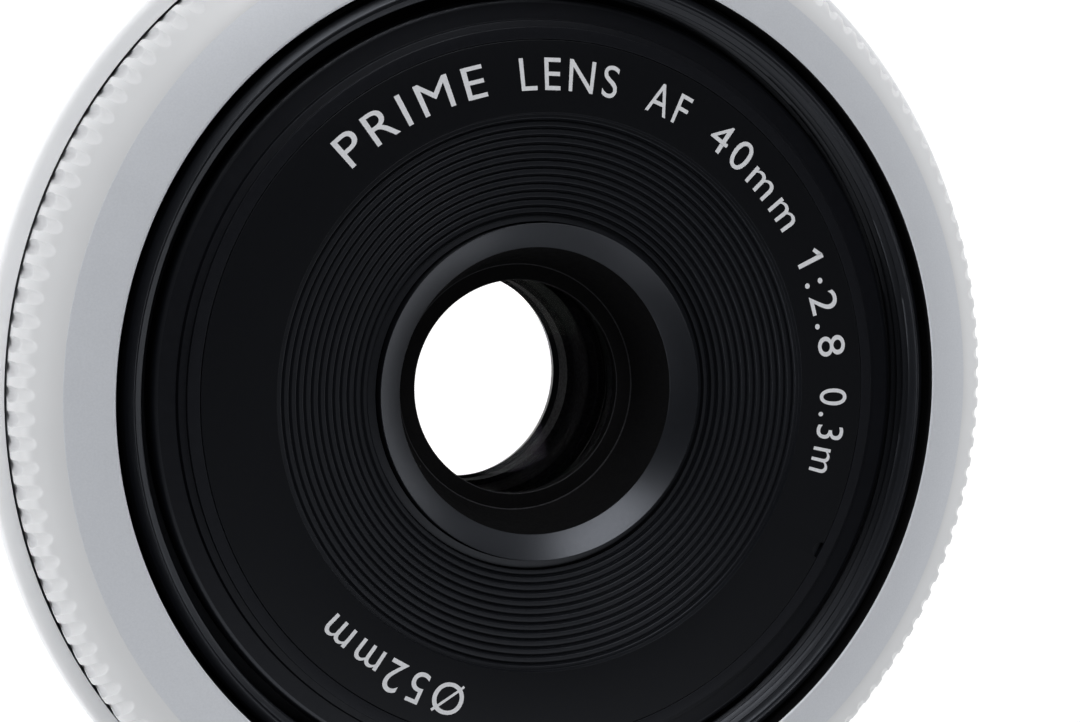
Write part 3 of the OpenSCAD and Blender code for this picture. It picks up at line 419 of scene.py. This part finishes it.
FRONT_GLASS = coated_glass("front_glass", (0.10, 0.08, 0.13, 1.0))
INNER_GLASS = coated_glass("inner_glass", (0.07, 0.08, 0.07, 1.0))

CAD_FINISHES = [
    (CHROME, ["mount_bayonet"]),
    (STEEL, ["mount_screws", "contact_screws", "base_screws", "barrel_screws"]),
    (BLACK, ["rear_baffle", "contact_block", "base_plate", "photo_interrupters", "focus_comb",
             "switch_base"]),
    (SATIN, ["guide_tube", "focus_sleeve", "cam_ring", "rear_retaining_ring"]),
    (SPECKLED, ["front_cell", "rear_cell", "lens_carrier", "spacer_ring", "diaphragm_base",
                "diaphragm_cover", "iris_ring"]),
    (BLADE, [f"iris_blade_{k}" for k in range(1, 8)]),
    (SPRING, ["cam_retainer", "snap_ring", "gear_shafts", "gear_bracket", "focus_motor",
              "diaphragm_motor"]),
    (BRASS, ["final_gear", "motor_pinion", "iris_pinion", "cam_followers"]),
    (NYLON, ["idler_gear", "slide_washer"]),
    (GOLD, ["contact_pins"]),
    (FILM, ["contact_flex"]),
    (FELT, ["light_seal"]),
    (BOARD, ["main_board"]),
    (CHIP, ["board_chips"]),
    (RED, ["mount_index_dot"]),
    (WHITE, ["mode_switch"]),
]


# ---------- mesh helpers ----------

def place_mesh(name, points, faces, finish, crease=30):
    """A new object from points in millimetres, shaded smooth except across creases sharper than that."""
    mesh = bpy.data.meshes.new(name)
    mesh.from_pydata([(x * MM, y * MM, z * MM) for x, y, z in points], [], faces)
    mesh.shade_smooth()
    mesh.set_sharp_from_angle(angle=math.radians(crease))
    mesh.materials.append(finish)
    made = bpy.data.objects.new(name, mesh)
    bpy.context.scene.collection.objects.link(made)
    return made


def polar(radius, angle):
    """x and y of a point at that radius and angle."""
    return radius * math.cos(math.radians(angle)), radius * math.sin(math.radians(angle))


def soften(corners, radius):
    """A closed outline with each corner rounded. A corner may carry its own radius as a third value.

    A corner that turns by less than 8 degrees stays, and no rounding takes up more than 0.45 of a side.
    """
    outline = []
    for k, corner in enumerate(corners):
        here = Vector(corner[:2])
        before = Vector(corners[k - 1][:2]) - here
        after = Vector(corners[(k + 1) % len(corners)][:2]) - here
        wanted = corner[2] if len(corner) > 2 else radius
        turn = math.pi - before.angle(after)
        if wanted <= 0 or turn < math.radians(8):
            outline.append(tuple(here))
            continue
        back = min(wanted * math.tan(turn / 2), before.length * 0.45, after.length * 0.45)
        start = here + before.normalized() * back
        end = here + after.normalized() * back
        steps = 2 + int(turn / math.radians(25))
        for s in range(steps + 1):
            t = s / steps
            bend = start * (1 - t) ** 2 + here * 2 * t * (1 - t) + end * t ** 2
            outline.append(tuple(bend))
    return outline


def turned(name, outline, finish, angles=360, carve=None, crease=30):
    """A closed outline of (radius, height) turned around the axis, at that many angles or at those given.

    carve(r, z, angle) gives the radius that a point of the outline has at an angle.
    """
    if isinstance(angles, int):
        angles = [k * 360 / angles for k in range(angles)]
    points = []
    for a in angles:
        for r, z in outline:
            points.append((*polar(carve(r, z, a) if carve else r, a), z))
    m, n = len(outline), len(angles)
    faces = []
    for i in range(n):
        here, there = i * m, (i + 1) % n * m
        for j in range(m):
            k = (j + 1) % m
            faces.append((here + j, there + j, there + k, here + k))
    return place_mesh(name, points, faces, finish, crease)


def wedge(name, outline, start, end, finish):
    """A closed outline turned from one angle to another, with flat ends."""
    n = max(2, int(end - start) + 1)
    m = len(outline)
    points = []
    for i in range(n):
        a = start + (end - start) * i / (n - 1)
        points += [(*polar(r, a), z) for r, z in outline]
    faces = [(i * m + j, (i + 1) * m + j, (i + 1) * m + (j + 1) % m, i * m + (j + 1) % m)
             for i in range(n - 1) for j in range(m)]
    faces.append(tuple(range(m)))
    faces.append(tuple(reversed(range((n - 1) * m, n * m))))
    return place_mesh(name, points, faces, finish)


def drum(name, radius, bottom, top, finish, sides=64):
    """A plain cylinder standing on the axis, for cutting holes."""
    ring = [polar(radius, k * 360 / sides) for k in range(sides)]
    points = [(x, y, bottom) for x, y in ring] + [(x, y, top) for x, y in ring]
    faces = [(k, (k + 1) % sides, sides + (k + 1) % sides, sides + k) for k in range(sides)]
    faces.append(tuple(reversed(range(sides))))
    faces.append(tuple(range(sides, 2 * sides)))
    return place_mesh(name, points, faces, finish)


def cut(target, cutter):
    """Takes cutter out of target, and removes cutter."""
    step = target.modifiers.new("cut", "BOOLEAN")
    step.operation = "DIFFERENCE"
    step.solver = "EXACT"
    step.object = cutter
    graph = bpy.context.evaluated_depsgraph_get()
    mesh = bpy.data.meshes.new_from_object(target.evaluated_get(graph))
    target.modifiers.clear()
    target.data = mesh
    mesh.set_sharp_from_angle(angle=math.radians(30))
    bpy.data.objects.remove(cutter)


def repaint(piece, finish, where):
    """Gives the faces whose centre passes where(radius, height) a second finish."""
    piece.data.materials.append(finish)
    for face in piece.data.polygons:
        x, y, z = face.center / MM
        if where(math.hypot(x, y), z):
            face.material_index = len(piece.data.materials) - 1


def settle(piece, body, slot, *nodes):
    """piece rides on body and stands for those CAD nodes, if any are given. slot is not used."""
    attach(piece, body)
    if nodes:
        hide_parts(*nodes)


# ---------- outside: barrel, focus ring and trim ring ----------

def switch_opening(name, inner, outer, half, ends):
    """A block that cuts the barrel wall at the focus mode switch, from one radius and angle to another."""
    low, high = SWITCH_Z - half, SWITCH_Z + half
    return wedge(name, [(inner, low), (outer, low), (outer, high), (inner, high)], *ends, WHITE)


def fixed_barrel():
    """White shell with a rounded rim, the recess of the focus mode switch and the seat of the dot."""
    outline = soften([(BARREL_BORE_R, BARREL_BOTTOM_Z), (BARREL_FLANGE_R, BARREL_BOTTOM_Z),
                      (BARREL_R, BARREL_TAPER_Z, 0.5), (BARREL_R, BARREL_RIM_Z, BARREL_RIM_ROUND),
                      (BARREL_LIP_R, BARREL_RIM_Z, 0.03), (BARREL_LIP_R, BARREL_RIM_Z - BARREL_LIP),
                      (BARREL_IN_R, BARREL_RIM_Z - BARREL_LIP - 0.15), (BARREL_IN_R, BARREL_FLOOR_Z),
                      (BARREL_BORE_R, BARREL_FLOOR_Z)], 0.12)
    shell = turned("barrel_shell", outline, WHITE, 720)
    inside, outside = 31, 36
    cut(shell, switch_opening("recess", SWITCH_RECESS_R, outside, SWITCH_RECESS_HALF, SWITCH_RECESS_ENDS))
    cut(shell, switch_opening("window", inside, outside - 1, SWITCH_WINDOW_HALF, SWITCH_WINDOW_ENDS))
    seat = drum("seat", DOT_SEAT_R, BARREL_R - DOT_SEAT_DEPTH, BARREL_R + 1, WHITE)
    lying = Matrix.Rotation(math.radians(-90), 4, "X")
    seat.data.transform(Matrix.Translation((0, 0, DOT_Z * MM)) @ lying)
    cut(shell, seat)
    settle(shell, "root", "white_shell", "fixed_barrel")


def grip_angles():
    """Columns of the grip: closest together where a groove meets the land beside it."""
    shares = [-0.36, -0.34, -0.325, -0.30, -0.26, -0.21, -0.15, -0.08, 0, 0.08, 0.15, 0.21, 0.26, 0.30,
              0.325, 0.34, 0.36, 0.5]
    return [(k + s) * 360 / GRIP_COUNT for k in range(GRIP_COUNT) for s in shares]


def groove(r, z, angle):
    """Radius of the grip at that place: each groove is a round-bottomed cut that runs out on the bevel."""
    if r < TRIM_R + 0.2 or z < RING_Z + 0.5:
        return r
    share = (angle * GRIP_COUNT / 360 + 0.5) % 1 - 0.5
    across = abs(share) * 2 * math.pi * GRIP_R / GRIP_COUNT / GROOVE_HALF
    if across >= 1:
        return r
    below = GROOVE_START_Z - z
    knee = (GRIP_R - GROOVE_DEPTH - GROOVE_START_R) / GROOVE_SLOPE
    floor = GROOVE_START_R + below * GROOVE_SLOPE
    if below > knee:
        floor = GRIP_R - GROOVE_DEPTH + (below - knee) * GROOVE_RISE
    return min(r, floor + GROOVE_ROUND * (1 - math.sqrt(1 - across ** 2)))


def focus_ring():
    """White grip ring: bevel, round shoulder, grooves that run out on it, and the bore it turns on."""
    bevel_step = 0.09
    plain_steps = 13
    shoulder_steps = 30
    grip_step = 0.15
    bevel_rows = [(TRIM_R + k * bevel_step, BEVEL_TOP_Z - k * bevel_step * BEVEL_FALL)
                  for k in range(plain_steps, int((SHOULDER_IN_R - TRIM_R) / bevel_step) + 1)]
    shoulder_rows = []
    for k in range(1, shoulder_steps + 1):
        a = math.radians(BEVEL_ANGLE + (90 - BEVEL_ANGLE) * k / shoulder_steps)
        shoulder_rows.append((GRIP_R - SHOULDER_R * (1 - math.sin(a)),
                              SHOULDER_FOOT_Z + SHOULDER_R * math.cos(a)))
    grip_rows = [(GRIP_R, SHOULDER_FOOT_Z - grip_step * k) for k in range(1, 18)]
    wall_r, sleeve_r, bore_r, seat_r = 31.4, 29.6, 28.37, 29.5
    grip_end_z, web_z, seat_z = 14.4, 16.0, 20.0
    outline = ([(TRIM_R, TRIM_BOTTOM_Z), (TRIM_R, BEVEL_TOP_Z - 0.03), (TRIM_R + 0.03, BEVEL_TOP_Z - 0.03)]
               + bevel_rows + shoulder_rows + grip_rows
               + [(GRIP_R, grip_end_z), (GRIP_R, RING_Z + 0.2), (wall_r, RING_Z + 0.2), (wall_r, web_z),
                  (sleeve_r, web_z), (sleeve_r, RING_Z), (bore_r, RING_Z), (bore_r, seat_z),
                  (seat_r, seat_z), (seat_r, TRIM_BOTTOM_Z)])
    ring = turned("grip_ring", outline, GRIP_WHITE, grip_angles(), groove, 35)
    settle(ring, "focus_ring", "white_shell", "focus_ring")


def trim_ring():
    """Grey ring let into the front of the focus ring, with a soft inner lip; below the lip its inner wall
    is painted flat black, painted shade for the narrow gap by the black barrel.
    """
    outline = soften([(TRIM_IN_R, TRIM_BOTTOM_Z), (TRIM_R, TRIM_BOTTOM_Z), (TRIM_R, BEVEL_TOP_Z, 0.03),
                      (TRIM_IN_R + 0.12, FRONT, 0.15), (TRIM_IN_R, FRONT - 0.15, 0.1)], 0.05)
    ring = turned("trim_ring", outline, TRIM, 480)
    # painted shade: the inner wall below the lip is painted flat black where the gap by the front barrel
    # lies in shade
    repaint(ring, FLAT, lambda r, z: r < TRIM_IN_R + 0.02 and z < FRONT - 0.12)
    settle(ring, "focus_ring", "grey_trim", "front_trim_ring")


# ---------- front barrel, name ring and retaining ring ----------

def thread(r, z, angle):
    """Radius of the filter thread's wall: a helical ridge that fades out at the mouth and the bottom."""
    if abs(r - THREAD_R) > 0.001:
        return r
    fade = 0.3
    phase = (z / THREAD_PITCH - angle / 360) % 1
    ridge = max(0.0, 1 - abs(phase - 0.5) / 0.42)
    mouth = min(1.0, max(0.0, (NOSE_Z - 0.2 - z) / fade))
    bottom = min(1.0, max(0.0, (z - THREAD_FLOOR_Z - 0.35) / fade))
    return r - THREAD_DEPTH * min(1.0, ridge * 1.2) * mouth * bottom


def front_barrel():
    """Black barrel front: bevelled nose, filter thread, trough and stepped land round the name ring.

    The thread is anodised, and the nose and the edge of the land are glossier than the rest.
    """
    rows = 56
    top = NOSE_Z - 0.15
    wall = [(THREAD_R, top - (top - THREAD_FLOOR_Z - 0.02) * k / rows) for k in range(rows + 1)]
    step_r, lip_r, seat_r, bore_r = 23.5, 22.95, 22.2, 18.0
    web_z = 17.6
    outer = soften([(SKIRT_IN_R, SKIRT_Z, 0), (SKIRT_R, SKIRT_Z, 0), (SKIRT_R, NOSE_Z - NOSE_FALL, 0.3),
                    (NOSE_MID_R, NOSE_Z - NOSE_FALL / 2, 0.25), (THREAD_R + 0.1, NOSE_Z, 0.12),
                    (THREAD_R, top, 0)], 0)[:-1]
    inner = soften([(THREAD_R, THREAD_FLOOR_Z, 0), (LAND_R, THREAD_FLOOR_Z, 0.08), (LAND_R, LAND_Z, 0.45),
                    (step_r, FRONT - 1.9, 0.04), (step_r - 0.1, FRONT - 1.6, 0.05),
                    (lip_r, FRONT - 1.55, 0.03), (lip_r, NAME_FACE_Z, 0.05),
                    (seat_r, NAME_FACE_Z, 0.03), (seat_r, NAME_SEAT_Z, 0), (bore_r, NAME_SEAT_Z, 0),
                    (bore_r, web_z, 0), (SKIRT_IN_R, web_z, 0)], 0)
    barrel = turned("front_barrel_shell", outer + wall + inner, BLACK, 720, thread, 32)
    ridge_r = THREAD_R - THREAD_DEPTH
    repaint(barrel, SATIN, lambda r, z: ridge_r - 0.01 < r < THREAD_R + 0.01 and z > NAME_SEAT_Z - 2)
    nose_end_z = NOSE_Z - NOSE_FALL * 0.75
    repaint(barrel, COLLAR, lambda r, z: r > THREAD_R + 0.08 and nose_end_z < z < NOSE_Z - 0.03)
    land_end_z = NAME_SEAT_Z - 0.1
    repaint(barrel, COLLAR,
            lambda r, z: LAND_R - 0.5 < r < LAND_R + 0.01 and land_end_z < z < LAND_Z + 0.01)
    settle(barrel, "barrel", "black_moulding", "front_barrel")


def funnel(r):
    """Height of the name ring's funnel at radius r."""
    return FUNNEL_TOP_Z - FUNNEL_DROP * (NAME_FLAT_R - r) / (NAME_FLAT_R - FUNNEL_END_R)


def name_ring():
    """Satin black ring: a flat face for the lettering, a notch, and a funnel of fine ridges."""
    ridges = []
    for k in range(RIDGES):
        r = NAME_FLAT_R - 0.05 - k * RIDGE_PITCH
        crest = r - RIDGE_PITCH * 0.5
        ridges += [(r, funnel(r)), (crest, funnel(r), 0.05), (crest - 0.08, funnel(r) - RIDGE_DEPTH, 0.02)]
    outline = soften([(NAME_INNER_R, NAME_BOTTOM_Z), (NAME_INNER_R + 1.2, NAME_BOTTOM_Z),
                      (NAME_FLAT_R - 0.3, NAME_RIM_Z), (NAME_R, NAME_RIM_Z), (NAME_R, NAME_FACE_Z, 0.06),
                      (NAME_FLAT_R, NAME_FACE_Z, 0.05)]
                     + ridges + [(NAME_INNER_R, funnel(FUNNEL_END_R))], 0.02)
    ring = turned("name_plate", outline, SATIN, 480)
    repaint(ring, FACE, lambda r, z: r > NAME_FLAT_R and z > NAME_FACE_Z - 0.2)
    notch = drum("notch", NOTCH_R, NAME_FACE_Z - 0.3, NAME_FACE_Z + 1, SATIN, 48)
    notch.data.transform(Matrix.Translation((*[v * MM for v in polar(NAME_R - 0.05, NOTCH_ANGLE)], 0)))
    cut(ring, notch)
    settle(ring, "barrel", "black_satin", "name_ring")


def retaining_ring():
    """Bevelled collar that holds the front element, with a stepped throat whose two edge lines are painted
    lighter as a painted highlight.
    """
    ledge_z, ledge_r = 14.8, 8.17
    outline = soften([(THROAT_R, THROAT_Z), (STEP_R, THROAT_Z), (STEP_R, COLLAR_SEAT_Z),
                      (COLLAR_R, COLLAR_SEAT_Z), (COLLAR_R, COLLAR_Z, 0.04),
                      (COLLAR_IN_R, COLLAR_IN_Z, 0.05), (ledge_r + 0.07, ledge_z + 0.08, 0),
                      (ledge_r, ledge_z, 0), (THROAT_R + 0.05, ledge_z, 0),
                      (THROAT_R, ledge_z - 0.06, 0)], 0.03)
    collar = turned("retaining_collar", outline, COLLAR, 360)
    repaint(collar, FLAT, lambda r, z: r < COLLAR_IN_R - 0.03)
    # painted highlight: thin rings at the ledge's edges get the lighter black, standing in for light
    # catching those edges
    outer_edge, inner_edge = ledge_r + 0.035, THROAT_R + 0.025
    repaint(collar, PAINTED_HIGHLIGHT_EDGE, lambda r, z: abs(r - outer_edge) < 0.025
            or (abs(r - inner_edge) < 0.015 and z > ledge_z - 0.1))
    settle(collar, "barrel", "black_anodised", "front_retaining_ring")


# ---------- lettering ----------

def word_mesh(word):
    """Triangles of a word set in the built-in typeface, in the typeface's own units."""
    font = bpy.data.curves.new("type", "FONT")
    font.body = word
    font.space_character = LETTER_GAP
    font.resolution_u = 6
    typed = bpy.data.objects.new("type", font)
    bpy.context.scene.collection.objects.link(typed)
    graph = bpy.context.evaluated_depsgraph_get()
    mesh = bpy.data.meshes.new_from_object(typed.evaluated_get(graph))
    bpy.data.objects.remove(typed)
    points = [tuple(v.co) for v in mesh.vertices]
    faces = [tuple(p.vertices) for p in mesh.polygons]
    return points, faces


def capital_height():
    """Height of a capital letter, in the typeface's own units."""
    return max(y for _, y, _ in word_mesh("H")[0])


def switch_marks():
    """The words at both ends of the focus mode switch, printed in black in its recess."""
    unit = capital_height()
    points, faces = [], []
    for word, centre in SWITCH_WORDS:
        flat, tris = word_mesh(word)
        middle = (min(p[0] for p in flat) + max(p[0] for p in flat)) / 2
        first = len(points)
        for x, y, _ in flat:
            turn = math.degrees((x - middle) / unit * SWITCH_WORD_HEIGHT / SWITCH_RECESS_R)
            height = SWITCH_Z + (y / unit - 0.5) * SWITCH_WORD_HEIGHT
            points.append((*polar(SWITCH_RECESS_R + 0.01, centre + turn), height))
        faces += [tuple(first + v for v in tri) for tri in tris]
    settle(place_mesh("switch_marks", points, faces, MARK), "root", "black_moulding")


def lettering():
    """Printed words round the name ring, read clockwise with their feet towards the glass.

    The typeface's 1 is a plain stem, so a leading 1 gets a flag drawn beside its top.
    """
    unit = capital_height()
    points, faces = [], []
    lift = NAME_FACE_Z + 0.008
    flag = [(-0.24, 0.81), (-0.18, 0.70), (0.02, 0.82), (0.02, 1.0)]
    for word, start, end in LETTERING:
        flat, tris = word_mesh(word)
        left = min(p[0] for p in flat)
        width = max(p[0] for p in flat) - left
        outlines = list(tris)
        if word[0] == "1":
            stem = min(p[0] for p in flat if p[0] - left < unit * 0.3)
            outlines.append(tuple(range(len(flat), len(flat) + len(flag))))
            flat = flat + [(stem + x * unit, y * unit, 0) for x, y in flag]
        first = len(points)
        for x, y, _ in flat:
            angle = start + (end - start) * (x - left) / width
            points.append((*polar(LETTER_FOOT_R + LETTER_HEIGHT * y / unit, angle), lift))
        faces += [tuple(first + v for v in outline) for outline in outlines]
    settle(place_mesh("name_lettering", points, faces, INK), "barrel", "white_shell")


# ---------- optics ----------

def cap(vertex, radius, semi):
    """Points from the axis out to semi on a sphere's surface that bulges to the front.

    A negative radius makes it bulge to the back.
    """
    steps = 24
    bulge = math.copysign(1, radius)
    points = []
    for k in range(steps + 1):
        r = semi * k / steps
        points.append((r, vertex - radius + bulge * math.sqrt(radius ** 2 - r ** 2)))
    return points


def element(name, front, back, finish, node):
    """A lens element between two surfaces, each from the axis outwards. Its rim is inked black."""
    sides = 192
    outline = front + back[::-1]
    points = [(0, 0, front[0][1])]
    m = len(outline) - 2
    for k in range(sides):
        points += [(*polar(r, k * 360 / sides), z) for r, z in outline[1:-1]]
    points.append((0, 0, back[0][1]))
    last = len(points) - 1
    faces = []
    for k in range(sides):
        here, there = 1 + k * m, 1 + (k + 1) % sides * m
        faces.append((0, here, there))
        faces.append((last, there + m - 1, here + m - 1))
        faces += [(here + j, here + j + 1, there + j + 1, there + j) for j in range(m - 1)]
    glass = place_mesh(name, points, faces, finish)
    repaint(glass, SPECKLED, lambda r, z: r > front[-1][0] - 0.01)
    settle(glass, "barrel", "coated_glass", node)


def optics():
    """Six elements in four groups. Cemented faces stand 0.01 apart, so that each stays its own solid."""
    cement = 0.01
    front_r, pair_r, rear_pair_r, rear_r = 8.25, 7.4, 6.8, 6.6
    element("front_element", cap(15.2, 22, front_r), cap(13.2, 60, front_r), FRONT_GLASS, "lens_1")
    element("second_element", cap(12.9, 16, pair_r), cap(11.9, 22, pair_r), INNER_GLASS, "lens_2")
    element("third_element", cap(11.9 - cement, 22, pair_r), cap(11.3, 18, pair_r), INNER_GLASS, "lens_3")
    element("fourth_element", cap(5.6, -20, rear_pair_r), cap(5.0, 25, rear_pair_r), INNER_GLASS, "lens_4")
    element("fifth_element", cap(5.0 - cement, 25, rear_pair_r), cap(3.2, -40, rear_pair_r), INNER_GLASS,
            "lens_5")
    element("rear_element", cap(2.9, 30, rear_r), cap(1.5, -60, rear_r), INNER_GLASS, "lens_6")


# ---------- stage, light and camera ----------

def floor():
    """Light table, three metres across, that the back of the lens rests on."""
    half = 1500
    corners = [(-half, -half, 0), (half, -half, 0), (half, half, 0), (-half, half, 0)]
    table = place_mesh("light_table", corners, [(0, 1, 2, 3)], light_table())
    table.location.z = BACK * MM


def softbox(name, azimuth, elevation, width, height, power):
    """A rectangular soft light that faces the front of the lens. Its width and height are in metres."""
    distance = 0.45
    lamp = bpy.data.lights.new(name, "AREA")
    lamp.shape = "RECTANGLE"
    lamp.size = width
    lamp.size_y = height
    lamp.energy = power
    made = bpy.data.objects.new(name, lamp)
    bpy.context.scene.collection.objects.link(made)
    flat = distance * math.cos(math.radians(elevation))
    spot = Vector((*polar(flat, azimuth), FRONT * MM + distance * math.sin(math.radians(elevation))))
    towards_lens = (Vector((0, 0, FRONT * MM)) - spot).to_track_quat("-Z", "Y").to_matrix().to_4x4()
    made.matrix_world = Matrix.Translation(spot) @ towards_lens


def room():
    """A dim room whose walls are bright near the table. Heights are the Z of a direction's unit vector."""
    near_table, near_table_end = 0.95, 0.12
    overhead, overhead_start = 0.04, 0.45
    world = bpy.data.worlds.new("room")
    world.use_nodes = True
    nodes = world.node_tree.nodes
    links = world.node_tree.links
    height = nodes.new("ShaderNodeSeparateXYZ")
    links.new(nodes.new("ShaderNodeTexCoord").outputs["Generated"], height.inputs[0])
    wall = nodes.new("ShaderNodeMapRange")
    wall.interpolation_type = "SMOOTHSTEP"
    wall.inputs["From Min"].default_value = near_table_end
    wall.inputs["From Max"].default_value = overhead_start
    wall.inputs["To Min"].default_value = near_table
    wall.inputs["To Max"].default_value = overhead
    links.new(height.outputs["Z"], wall.inputs["Value"])
    links.new(wall.outputs["Result"], nodes["Background"].inputs["Strength"])
    nodes["Background"].inputs["Color"].default_value = (0.95, 0.97, 1.0, 1.0)
    bpy.context.scene.world = world


def lights():
    """Four soft lights: a key at the top, a fill at the bottom, and low strips at the left and right."""
    softbox("key", azimuth=95, elevation=36, width=0.33, height=0.22, power=1.3)
    softbox("fill", azimuth=277, elevation=50, width=0.45, height=0.35, power=0.6)
    softbox("left", azimuth=203, elevation=8, width=0.5, height=0.12, power=0.8)
    softbox("right", azimuth=345, elevation=14, width=0.7, height=0.16, power=0.5)
    room()
    bpy.context.scene.view_settings.view_transform = "Standard"


def camera():
    """A close view of the front, 22 degrees off the axis, from the left."""
    distance = 106.07
    azimuth = 165.65
    elevation = 68.2
    tilt = -0.89
    target = (-1.376, 2.273, FRONT)
    flat = distance * math.cos(math.radians(elevation))
    spot = [*polar(flat, azimuth), FRONT + distance * math.sin(math.radians(elevation))]
    lens = bpy.data.cameras.new("camera")
    lens.sensor_width = 36.0
    lens.lens = 56.67
    lens.clip_start = 0.005
    made = bpy.data.objects.new("camera", lens)
    bpy.context.scene.collection.objects.link(made)
    forward = (Vector(target) - Vector(spot)).normalized()
    up = Vector((0, 1, 0)) - forward * forward.y
    up.normalize()
    right = forward.cross(up)
    frame_axes = Matrix((right, up, -forward)).transposed().to_4x4()
    roll = Matrix.Rotation(math.radians(tilt), 4, "Z")
    made.matrix_world = Matrix.Translation(Vector(spot) * MM) @ frame_axes @ roll
    bpy.context.scene.camera = made


def dress_frame():
    """CAD nodes that stay in view or inside get their finishes."""
    for finish, names in CAD_FINISHES:
        for name in names:
            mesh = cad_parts[name].data
            mesh.materials.clear()
            mesh.materials.append(finish)


dress_frame()
fixed_barrel()
focus_ring()
trim_ring()
front_barrel()
name_ring()
retaining_ring()
lettering()
switch_marks()
optics()
floor()
lights()
camera()
